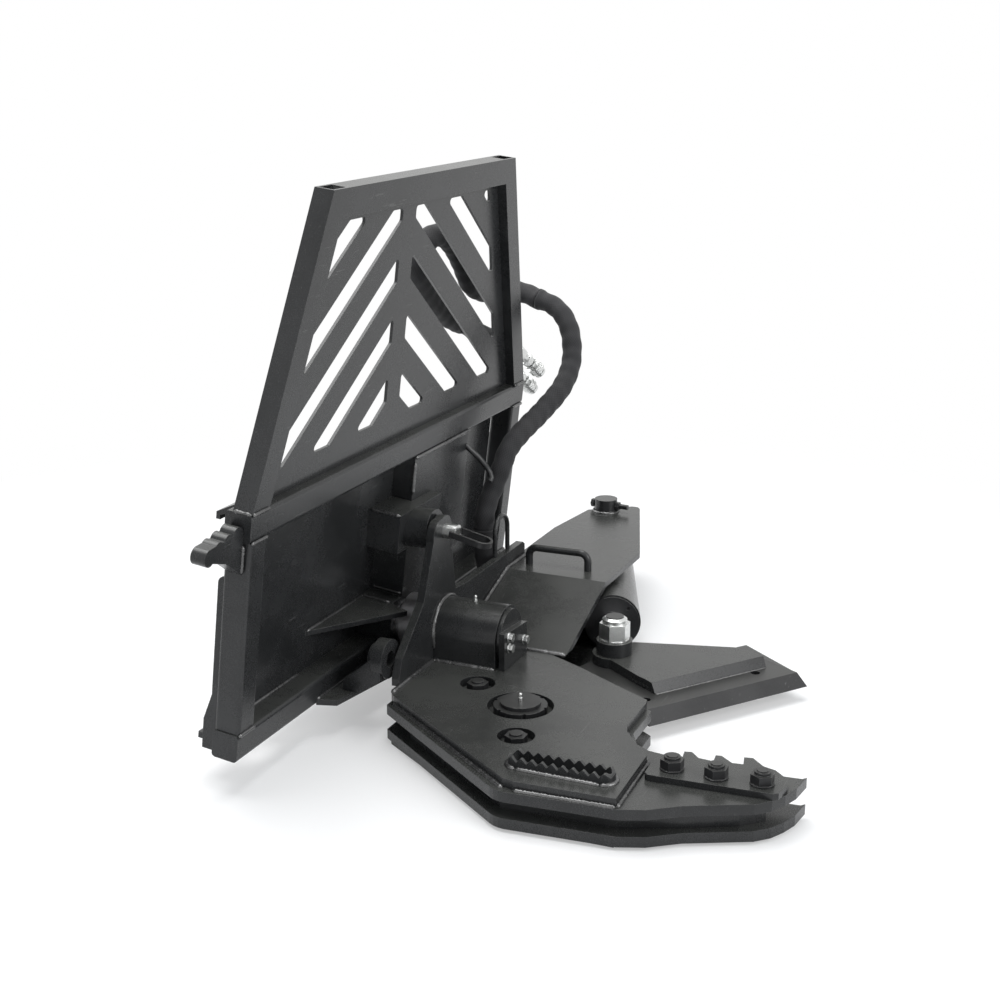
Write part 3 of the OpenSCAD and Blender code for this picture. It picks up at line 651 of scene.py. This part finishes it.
class TubeMesh:
    """A tube along a line, with a section that may change."""

    def __init__(self, sides: int) -> None:
        """Start an empty mesh.

        Args:
            sides: How many sides each tube has.
        """
        self.sides = sides
        self.verts: list[Vector] = []
        self.faces: list[tuple[int, ...]] = []
        self.uvs: list[tuple[float, float]] = []

    def add(self, line: Sequence[Vector], radius: Radius, closed: bool = False) -> None:
        """Add one tube.

        Args:
            line: The centre line, in mm.
            radius: A function of ring number and angle that gives the radius in mm.
            closed: Whether the line runs back into itself.
        """
        n, count = self.sides, len(line)
        base = len(self.verts)
        up = None
        travel = 0.0
        for i, centre in enumerate(line):
            before = line[(i - 1) % count] if closed else line[max(0, i - 1)]
            after = line[(i + 1) % count] if closed else line[min(count - 1, i + 1)]
            ahead = (after - before).normalized()
            if up is None:
                up = ahead.orthogonal().normalized()
            up = (up - ahead * up.dot(ahead)).normalized()
            side = ahead.cross(up)
            travel += (centre - line[i - 1]).length if i else 0.0
            for k in range(n):
                angle = math.tau * k / n
                r = radius(i, angle)
                corner = centre + up * (r * math.cos(angle)) + side * (r * math.sin(angle))
                self.verts.append(corner * MM)
                self.uvs.append((k / n, travel * MM))
        rings = count if closed else count - 1
        for i in range(rings):
            a, b = base + i * n, base + ((i + 1) % count) * n
            for k in range(n):
                m = (k + 1) % n
                self.faces.append((a + k, a + m, b + m, b + k))
        if not closed:
            self.faces.append(tuple(base + k for k in reversed(range(n))))
            self.faces.append(tuple(base + (count - 1) * n + k for k in range(n)))

    def make(self, name: str) -> bpy.types.Object:
        """Turn the tubes into one smooth mesh object.

        Args:
            name: The object's name.

        Returns:
            The object, in the row frame.
        """
        mesh = bpy.data.meshes.new(name)
        mesh.from_pydata([tuple(v) for v in self.verts], [], self.faces)
        layer = mesh.uv_layers.new(name="weave")
        for polygon in mesh.polygons:
            polygon.use_smooth = len(polygon.vertices) == 4
            seam = any(self.uvs[v][0] > 1.0 - SEAM_SHARE for v in polygon.vertices)
            for loop in polygon.loop_indices:
                u, v = self.uvs[mesh.loops[loop].vertex_index]
                layer.data[loop].uv = (u + 1.0 if seam and u < SEAM_SHARE else u, v)
        mesh.update()
        thing = bpy.data.objects.new(name, mesh)
        bpy.context.collection.objects.link(thing)
        return thing


@dataclass
class HoseRun:
    """The sleeved pair of hydraulic hoses and the two tails with their couplers."""

    sleeve_radius: float = 24.6
    sleeve_sides: int = 28
    sleeve_step: float = 5.0
    snugness: float = 0.915
    oval: float = 0.06
    fold: float = 0.03
    sag: float = 0.02
    twist_rate: float = 0.01
    fold_rate: float = 0.9
    sag_rate: float = 0.23
    cuff: float = 0.97
    tail_radius: float = 10.0
    tail_sides: int = 20
    tail_step: float = 4.0
    tail_skin: float = 0.1
    supply: tuple[Point, ...] = (
        (850, 315, 695), (855, 350, 705), (846, 384, 713), (805, 408, 716), (745, 412, 722),
        (682, 412, 748), (632, 410, 800), (585, 410, 846), (528, 412, 872), (478, 418, 862),
        (462, 428, 815), (500, 438, 772), (545, 444, 735), (598, 446, 705), (650, 446, 675),
        (700, 442, 655),
    )  # fmt: skip
    crossing: tuple[Point, ...] = (
        (500, 296, 252.3), (500, 296, 276), (511, 293, 308), (528, 284, 344), (540, 274, 380),
        (566, 268, 416), (616, 256, 446), (686, 238, 478), (752, 220, 518), (800, 216, 566),
        (822, 226, 620), (835, 248, 661), (845, 280, 685), (849.95, 314.7, 694.9),
    )  # fmt: skip
    stub: tuple[Point, ...] = (
        (500, 296, 252), (500, 296, 228), (501, 296, 206), (506, 296, 184), (514, 296, 164),
    )  # fmt: skip
    tails: tuple[tuple[Point, ...], ...] = (
        ((704.8, 442, 666), (733, 439.8, 654.7), (774, 428, 634), (820, 398, 606), (842, 380, 588),
         (858, 372, 572)),
        ((695.8, 442, 643.8), (724, 439.8, 632.5), (768, 434, 604), (816, 414, 570), (842, 398, 546),
         (858, 390, 530)),
    )  # fmt: skip
    seed: int = 4

    def _sleeve(self, name: str, points: Sequence[Point]) -> tuple[bpy.types.Object, list[Vector]]:
        """Build one length of sleeve: oval over two hoses, with soft folds.

        Args:
            name: The object's name.
            points: Its route, in mm.

        Returns:
            The sleeve and its centre line.
        """
        rng = random.Random(self.seed + len(points))
        line = smooth_line(points, self.sleeve_step)
        twist, pleat, lean, wave, side = (rng.uniform(0, math.tau) for _ in range(5))
        last = len(line) - 1

        def radius(ring: int, angle: float) -> float:
            """Radius of the sleeve, with a plain cuff at both ends.

            Args:
                ring: Number of the ring along the hose.
                angle: Angle around the hose.

            Returns:
                The radius, in mm.
            """
            if min(ring, last - ring) < 2:
                return self.sleeve_radius * self.cuff
            around = self.snugness + self.oval * math.cos(2 * angle + twist + ring * self.twist_rate)
            folds = self.fold * math.sin(ring * self.fold_rate + pleat + 2 * math.sin(angle + lean))
            slack = self.sag * math.sin(ring * self.sag_rate + wave) * math.cos(angle + side)
            return self.sleeve_radius * min(1.0, around + folds + slack)

        tube = TubeMesh(self.sleeve_sides)
        tube.add(line, radius)
        LOG.info("%s: %.0f mm", name, line_length(line))
        return tube.make(name), line

    def build(self, finishes: Finishes) -> None:
        """Args:
            finishes: The materials.
        """
        supply, supply_line = self._sleeve("hose_supply", self.supply)
        crossing, crossing_line = self._sleeve("hose_crossing", self.crossing)
        stub, _ = self._sleeve("hose_stub", self.stub)
        for thing in (supply, crossing, stub):
            finishes.put(thing, finishes.by_slot[Slot.SLEEVE])
        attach(supply, Body.FRAME.value)
        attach(stub, Body.HEAD.value)
        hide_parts("supply_hose")
        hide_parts("head_hose")
        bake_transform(crossing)
        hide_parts("crossing_hose")
        line_length(crossing_line) * MM
        [tuple(p * MM) for p in crossing_line]
        line_length(supply_line) * MM
        [tuple(p * MM) for p in supply_line]
        self._tail("tail_upper", self.tails[0], finishes)
        self._tail("tail_lower", self.tails[1], finishes)

    def _tail(self, name: str, points: Sequence[Point], finishes: Finishes) -> None:
        """Make one hose between the sleeve's end and its coupler.

        Args:
            name: The object's name.
            points: Its route, in mm.
            finishes: The materials.
        """
        line = smooth_line(points, self.tail_step)
        tube = TubeMesh(self.tail_sides)
        tube.add(line, lambda ring, angle: self.tail_radius - self.tail_skin)
        thing = tube.make(name)
        LOG.info("%s: %.0f mm", name, line_length(line))
        finishes.put(thing, finishes.by_slot[Slot.RUBBER])
        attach(thing, Body.FRAME.value)
        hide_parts("hose_tails")
        line_length(line) * MM
        [tuple(p * MM) for p in line]


@dataclass
class WeldBeads:
    """Rippled fillet beads that join the plates of one body."""

    name: str
    body: Body
    radius: float = 6.0
    pitch: float = 3.6
    sides: int = 8
    trough: float = 0.8
    tip: float = 0.35
    swell: Flat = (0.86, 1.06)
    runs: list[tuple[list[Vector], bool]] = field(default_factory=list)

    def line(self, *points: Point) -> None:
        """Add a straight or bent bead.

        Args:
            points: The points that it runs through, in mm.
        """
        out: list[Vector] = []
        for p, q in zip(points, points[1:]):
            a, b = Vector(p), Vector(q)
            count = max(1, round((b - a).length / self.pitch))
            out += [a.lerp(b, k / count) for k in range(count)]
        out.append(Vector(points[-1]))
        self.runs.append((out, False))

    def arc(self, centre: Point, radius: float, axis: Around, start: float, end: float) -> None:
        """Add a round bead.

        Args:
            centre: Its centre, in mm.
            radius: Its radius, in mm.
            axis: The axis that it runs around.
            start: First angle, in degrees.
            end: Last angle, in degrees.
        """
        sweep = math.radians(end - start)
        count = max(6, round(abs(sweep) * radius / self.pitch))
        closed = abs(end - start) >= 360.0
        out = []
        for k in range(count if closed else count + 1):
            a = math.radians(start) + sweep * k / count
            u, v = radius * math.cos(a), radius * math.sin(a)
            out.append(Vector(centre) + Vector((u, 0, v) if axis is Around.BACKWARD else (u, v, 0)))
        self.runs.append((out, closed))

    def _ripple(self, wobble: list[float], closed: bool) -> Radius:
        """Shape one bead: every other ring is lower, and an open bead's ends are thin.

        Args:
            wobble: How much each ring is swollen.
            closed: Whether the bead runs back into itself.

        Returns:
            The radius in mm, as a function of ring and angle.
        """
        last = len(wobble) - 1

        def radius(ring: int, _angle: float) -> float:
            """Radius of the bead at a ring."""
            swollen = self.radius * wobble[ring] * (self.trough if ring % 2 else 1.0)
            return swollen * (1.0 if closed or 0 < ring < last else self.tip)

        return radius

    def build(self, finishes: Finishes) -> None:
        """Make the beads as one mesh that rides on its body.

        Args:
            finishes: The materials.
        """
        tube = TubeMesh(self.sides)
        rng = random.Random(len(self.name))
        for points, closed in self.runs:
            wobble = [rng.uniform(*self.swell) for _ in points]
            tube.add(points, self._ripple(wobble, closed), closed)
        thing = tube.make(self.name)
        finishes.put(thing, finishes.weld)
        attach(thing, self.body.value)
        LOG.info("%s: %d runs", self.name, len(self.runs))


@dataclass(frozen=True)
class HeadWelds:
    """Where the plates of the head are welded, in mm."""

    jaw_top: float = 74.0
    deck: float = 90.0
    cover_top: float = 169.0
    back_face: float = 244.0
    doubler_front: tuple[Flat, ...] = ((-282, -289), (-106, -283), (-62, -245), (-30, -220), (-7, -212))
    doubler_side: tuple[Flat, ...] = ((-294, -110), (-283, -287))
    doubler_rear: tuple[Flat, ...] = ((-58, 232), (-292, -90))
    deck_left: float = -43.0
    housing_side: float = 134.0
    housing_front: float = 112.0
    housing_x: float = 196.0
    housing_z: float = 140.0
    housing_radius: float = 63.0
    cover_left: float = 261.0
    cover_front: float = 13.0
    cover_bend: float = 495.0
    cover_end: float = 598.0
    collar_at: Flat = (988, 194)
    collar_radius: float = 28.0
    grip_x: float = -227.0
    grip_rear: float = -95.0
    grip_front: float = -246.0
    grip_radius: float = 21.5

    def build(self, finishes: Finishes) -> None:
        """Make the head's beads.

        Args:
            finishes: The materials.
        """
        beads = WeldBeads("welds_head", Body.HEAD)
        for outline in (self.doubler_front, self.doubler_side, self.doubler_rear):
            beads.line(*((x, y, self.jaw_top) for x, y in outline))
        self._housing(beads)
        self._cover(beads)
        self._grip(beads)
        beads.build(finishes)

    def _housing(self, beads: WeldBeads) -> None:
        """Add the beads between the turning housing, the deck and the back plate.

        Args:
            beads: The head's beads.
        """
        face = self.back_face - 1
        beads.line((self.deck_left, face, self.deck), (self.housing_side - 1, face, self.deck))
        beads.arc((self.housing_x, face, self.housing_z), self.housing_radius, Around.BACKWARD, -25, 205)
        beads.line(
            (self.housing_side, self.housing_front, self.deck), (self.housing_side, self.back_face, self.deck)
        )

    def _cover(self, beads: WeldBeads) -> None:
        """Add the beads around the cover plate and its pin collar.

        Args:
            beads: The head's beads.
        """
        face, top = self.back_face - 3, self.cover_top + 1
        left = self.cover_left
        beads.line((left + 1, face, self.deck + 3), (self.cover_bend, face, top), (self.cover_end, face, top))
        beads.line((left, self.cover_front, self.deck), (left, self.back_face - 2, self.deck))
        beads.arc((*self.collar_at, self.cover_top), self.collar_radius, Around.UPWARD, 0, 360)

    def _grip(self, beads: WeldBeads) -> None:
        """Add the bead around the serrated grip loop.

        Args:
            beads: The head's beads.
        """
        rear = (self.grip_x, self.grip_rear, self.deck)
        front = (self.grip_x, self.grip_front, self.deck)
        beads.arc(rear, self.grip_radius, Around.UPWARD, 0, 180)
        beads.arc(front, self.grip_radius, Around.UPWARD, 180, 360)
        for side in (-self.grip_radius, self.grip_radius):
            x = self.grip_x + side
            beads.line((x, self.grip_rear, self.deck), (x, self.grip_front, self.deck))


@dataclass(frozen=True)
class BladeWelds:
    """Where the blade's upper plate is welded to the knife, in mm along and across the knife."""

    knife_top: float = 52.0
    bead_radius: float = 2.4
    front_edge: tuple[Flat, ...] = ((296, -12.5), (568, -12.5))
    outer_end: tuple[Flat, ...] = ((571, -9), (573, 0), (553, 68))

    def build(self, finishes: Finishes) -> None:
        """Make the blade's beads.

        Args:
            finishes: The materials.
        """
        beads = WeldBeads("welds_blade", Body.BLADE, radius=self.bead_radius)
        for edge in (self.front_edge, self.outer_end):
            beads.line(*((*turned(point, KNIFE_TURN), self.knife_top) for point in edge))
        beads.build(finishes)


@dataclass(frozen=True)
class FlatPlate:
    """A flat steel plate drawn from above."""

    name: str
    body: Body
    low: float
    high: float
    outline: tuple[Flat, ...]
    stands_for: str = ""
    turn: float = 0.0

    def build(self, finishes: Finishes) -> None:
        """Make the plate and place it on its body.

        Args:
            finishes: The materials.
        """
        n = len(self.outline)
        flat = [turned(corner, self.turn) for corner in self.outline]
        points = [(x * MM, y * MM, z * MM) for z in (self.low, self.high) for x, y in flat]
        faces = [tuple(reversed(range(n))), tuple(range(n, 2 * n))]
        faces += [(k, (k + 1) % n, n + (k + 1) % n, n + k) for k in range(n)]
        mesh = bpy.data.meshes.new(self.name)
        mesh.from_pydata(points, [], faces)
        thing = bpy.data.objects.new(self.name, mesh)
        bpy.context.collection.objects.link(thing)
        finishes.put(thing, finishes.by_slot[Slot.PAINT])
        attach(thing, self.body.value)
        if self.stands_for:
            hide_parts(self.stands_for)
        LOG.info("%s: %d corners", self.name, n)


@dataclass(frozen=True)
class Plates:
    """The plates that the photograph shows with more shape than the CAD."""

    tray: FlatPlate = FlatPlate(
        "cylinder_tray", Body.HEAD, low=6.2, high=24.8,
        outline=(
            (215, -30), (300, -28), (400, -12), (610, 58), (722, 124), (902, 134), (300, 134), (240, 62),
        ),
    )  # fmt: skip
    teeth: FlatPlate = FlatPlate(
        "hooked_teeth", Body.HEAD, low=74.0, high=86.0, stands_for="tooth_plate",
        outline=(
            (-170, -303), (-156, -514), (-149, -522), (-117, -529), (-93, -522), (-68, -496), (-61, -473),
            (-37, -449), (-40, -434), (-67, -440), (-70, -421), (-50, -397), (-52, -387), (-76, -390),
            (-74, -363), (-56, -346), (-59, -333), (-83, -337), (-90, -303), (-112, -294), (-163, -296),
        ),
    )  # fmt: skip
    heel: FlatPlate = FlatPlate(
        "knife_heel", Body.BLADE, low=27.6, high=51.9, turn=KNIFE_TURN,
        outline=((604, -62), (612, 106), (480, 106), (520, 84), (545, 60), (590, 26)),
    )  # fmt: skip

    def build(self, finishes: Finishes) -> None:
        """Make the plates.

        Args:
            finishes: The materials.
        """
        for plate in (self.tray, self.teeth, self.heel):
            plate.build(finishes)


@dataclass(frozen=True)
class FrameWelds:
    """Where the mount frame's tubes and plates are welded, in mm of the upright frame."""

    half: float = 571.5
    tube: float = 50.8
    height: float = 457.0
    bead_radius: float = 4.4
    tube_face: float = -0.5
    plate_face: float = -1.0
    corner_bead: float = 45.5
    sheet_face: float = 43.0
    mast_left: float = 35.0
    mast_right: float = 288.0
    mast_foot: float = 330.0
    hub_left: float = -60.0
    hub_top: float = 316.0
    hub_front: float = -24.0
    gusset_left: float = -279.0
    gusset_top: float = 132.0
    comb_at: Flat = (-575, 13)
    comb_span: Flat = (352, 402)
    sheet_span: Flat = (-510, -300)
    sheet_foot: float = 52.0
    lower_gusset: Flat = (-298, 108)
    lower_gusset_top: float = 12.0
    notch_left: float = -20.0
    notch_levels: Flat = (140, 236)

    def build(self, finishes: Finishes) -> None:
        """Make the mount frame's beads.

        Args:
            finishes: The materials.
        """
        beads = WeldBeads("welds_frame", Body.FRAME, radius=self.bead_radius)
        for side in (-1, 1):
            self._corner(beads, side)
        self._mast(beads)
        self._gussets(beads)
        inner = self.corner_bead - self.half
        self._seam(beads, (-self.half, self.tube_face, self.height), (inner, self.tube_face, self.height))
        for z in self.notch_levels:
            self._seam(beads, (self.notch_left, self.hub_front, z), (self.notch_left, self.sheet_face, z))
        beads.build(finishes)

    @staticmethod
    def _seam(beads: WeldBeads, start: Point, end: Point) -> None:
        """Add one straight bead between two points of the upright frame."""
        beads.line(on_frame(*start), on_frame(*end))

    def _corner(self, beads: WeldBeads, side: int) -> None:
        """Add the beads of one upright tube.

        Args:
            beads: The frame's beads.
            side: -1 for the left tube, 1 for the right one.
        """
        outer, inner, face = side * self.half, side * (self.half - self.tube), self.tube_face
        for z in (self.tube, self.height - self.tube):
            self._seam(beads, (inner, face, z), (outer, face, z))
        self._seam(beads, (inner - side * 2, face, self.height), (outer, face, self.height))
        self._seam(beads, (outer, 2, self.height), (outer, 37, self.height))

    def _mast(self, beads: WeldBeads) -> None:
        """Add the beads of the mast plate, the hub box and the comb bracket.

        Args:
            beads: The frame's beads.
        """
        top, left, face = self.height - self.tube, self.hub_left, self.plate_face
        comb_x, comb_y = self.comb_at
        self._seam(beads, (self.mast_left + 1, face, top), (self.mast_right, face, top))
        self._seam(beads, (self.mast_left, face, self.mast_foot), (self.mast_left, face, top - 10))
        self._seam(beads, (left, self.hub_front, self.hub_top), (left, 40, self.hub_top))
        self._seam(beads, (left - 1, -20, self.gusset_top + 1), (left - 1, 44, self.gusset_top + 1))
        self._seam(beads, (comb_x, comb_y, self.comb_span[0]), (comb_x, comb_y, self.comb_span[1]))

    def _gussets(self, beads: WeldBeads) -> None:
        """Add the beads of the two gussets and the sheet's lower edge.

        Args:
            beads: The frame's beads.
        """
        face, top, foot = self.sheet_face, self.gusset_top, self.sheet_foot
        (left, right), low = self.lower_gusset, self.lower_gusset_top
        self._seam(beads, (self.gusset_left, face, top), (self.hub_left - 2, face, top))
        self._seam(beads, (self.sheet_span[0], face, foot), (self.sheet_span[1], face, foot))
        self._seam(beads, (left, self.plate_face, low), (right, self.plate_face, low))


@dataclass(frozen=True)
class Lamp:
    """A soft square lamp that points at the middle of the shear."""

    name: str
    place: Point
    size: float
    watts: float

    def build(self, aim: Point) -> None:
        """Add the lamp.

        Args:
            aim: What it points at, in metres.
        """
        data = bpy.data.lights.new(self.name, "AREA")
        data.energy = self.watts
        data.size = self.size
        thing = bpy.data.objects.new(self.name, data)
        thing.location = self.place
        thing.rotation_euler = (Vector(aim) - Vector(self.place)).to_track_quat("-Z", "Y").to_euler()
        bpy.context.collection.objects.link(thing)
        LOG.info("%s: %.0f W", self.name, self.watts)


@dataclass(frozen=True)
class Studio:
    """Camera, lamps, world and floor."""

    camera_at: Point = (-2508.5, -1056.6, 1283.9)
    camera_aim: Point = (301.45, 173.0, 382.84)
    lens: float = 57.6
    sensor: float = 36.0
    far: float = 100.0
    middle: Point = (0.3, 0.2, 0.3)
    lamps: tuple[Lamp, ...] = (
        Lamp("top_lamp", (0.2, 0.6, 3.4), 2.6, 120),
        Lamp("left_lamp", (-3.2, 0.6, 1.6), 1.6, 8),
        Lamp("front_lamp", (-0.4, -3.2, 2.0), 2.0, 62),
        Lamp("rear_lamp", (1.6, 3.0, 2.4), 2.0, 40),
    )
    sky: Point = (0.86, 0.93, 1.0)
    sky_strength: float = 0.36
    floor_colour: Point = (0.93, 0.93, 0.93)
    floor_half: float = 14.0
    floor_drop: float = 0.0006
    fade: Flat = (0.9, 2.4)
    near_glow: float = 0.4

    def camera(self) -> None:
        """Make the photograph's camera."""
        data = bpy.data.cameras.new("camera")
        data.lens = self.lens
        data.sensor_width = self.sensor
        data.clip_end = self.far
        thing = bpy.data.objects.new("camera", data)
        place, aim = Vector(self.camera_at) * MM, Vector(self.camera_aim) * MM
        thing.location = place
        thing.rotation_euler = (aim - place).to_track_quat("-Z", "Y").to_euler()
        bpy.context.collection.objects.link(thing)
        bpy.context.scene.camera = thing

    def lights(self) -> None:
        """Add the lamps."""
        for lamp in self.lamps:
            lamp.build(self.middle)

    def world(self) -> None:
        """Add the world: white to the camera, in reflections and through glass, pale blue as light."""
        world = bpy.data.worlds.new("studio")
        bpy.context.scene.world = world
        world.use_nodes = True
        tree = world.node_tree
        tree.nodes.clear()
        ray = tree.nodes.new("ShaderNodeLightPath")
        seen = tree.nodes.new("ShaderNodeBackground")
        seen.inputs["Color"].default_value = (1, 1, 1, 1)
        soft = tree.nodes.new("ShaderNodeBackground")
        soft.inputs["Color"].default_value = (*self.sky, 1)
        soft.inputs["Strength"].default_value = self.sky_strength
        mix = tree.nodes.new("ShaderNodeMixShader")
        out = tree.nodes.new("ShaderNodeOutputWorld")
        total = ray.outputs["Is Camera Ray"]
        for extra in ("Is Glossy Ray", "Is Transmission Ray"):
            add = tree.nodes.new("ShaderNodeMath")
            add.operation, add.use_clamp = "ADD", True
            tree.links.new(total, add.inputs[0])
            tree.links.new(ray.outputs[extra], add.inputs[1])
            total = add.outputs[0]
        tree.links.new(total, mix.inputs[0])
        tree.links.new(soft.outputs[0], mix.inputs[1])
        tree.links.new(seen.outputs[0], mix.inputs[2])
        tree.links.new(mix.outputs[0], out.inputs["Surface"])

    def floor(self) -> None:
        """Add the plain pale floor, which fades into the world with distance."""
        mesh = bpy.data.meshes.new("floor")
        r = self.floor_half
        mesh.from_pydata([(-r, -r, 0), (r, -r, 0), (r, r, 0), (-r, r, 0)], [], [(0, 1, 2, 3)])
        thing = bpy.data.objects.new("floor", mesh)
        thing.location = (self.middle[0], self.middle[1], -self.floor_drop)
        bpy.context.collection.objects.link(thing)
        g = Graph("pale_floor")
        matt = {"Base Color": (*self.floor_colour, 1), "Roughness": 0.85}
        shader = g.node("ShaderNodeBsdfPrincipled", {}, matt)
        glow = g.node("ShaderNodeEmission", {}, {"Color": (1, 1, 1, 1), "Strength": 1.0})
        kinds = ("Is Camera Ray", "Is Glossy Ray", "Is Transmission Ray")
        camera, glossy, through = (g.node("ShaderNodeLightPath", {}, {}, kind) for kind in kinds)
        away = g.node("ShaderNodeNewGeometry", {}, {}, "Position")
        reach = g.node("ShaderNodeVectorMath", {"operation": "LENGTH"}, {0: away}, "Value")
        far = reach.above(*self.fade)
        share = (camera + glossy + through) * (far * (1.0 - self.near_glow) + self.near_glow)
        mix = g.tree.nodes.new("ShaderNodeMixShader")
        for index, sock in ((0, share), (1, shader), (2, glow)):
            g.tree.links.new(sock.socket, mix.inputs[index])
        out = g.tree.nodes.new("ShaderNodeOutputMaterial")
        g.tree.links.new(mix.outputs[0], out.inputs["Surface"])
        mesh.materials.append(g.material)


def main() -> None:
    logging.basicConfig(level=logging.INFO, format="%(message)s")
    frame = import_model()
    studio = Studio()
    studio.camera()
    finishes = Finishes()
    finishes.dress_nodes(frame)
    HoseRun().build(finishes)
    HeadWelds().build(finishes)
    BladeWelds().build(finishes)
    Plates().build(finishes)
    FrameWelds().build(finishes)
    studio.lights()
    studio.world()
    studio.floor()
    bpy.context.scene.view_settings.view_transform = "Standard"
    LOG.info("sizes written")


if __name__ == "__main__":
    main()
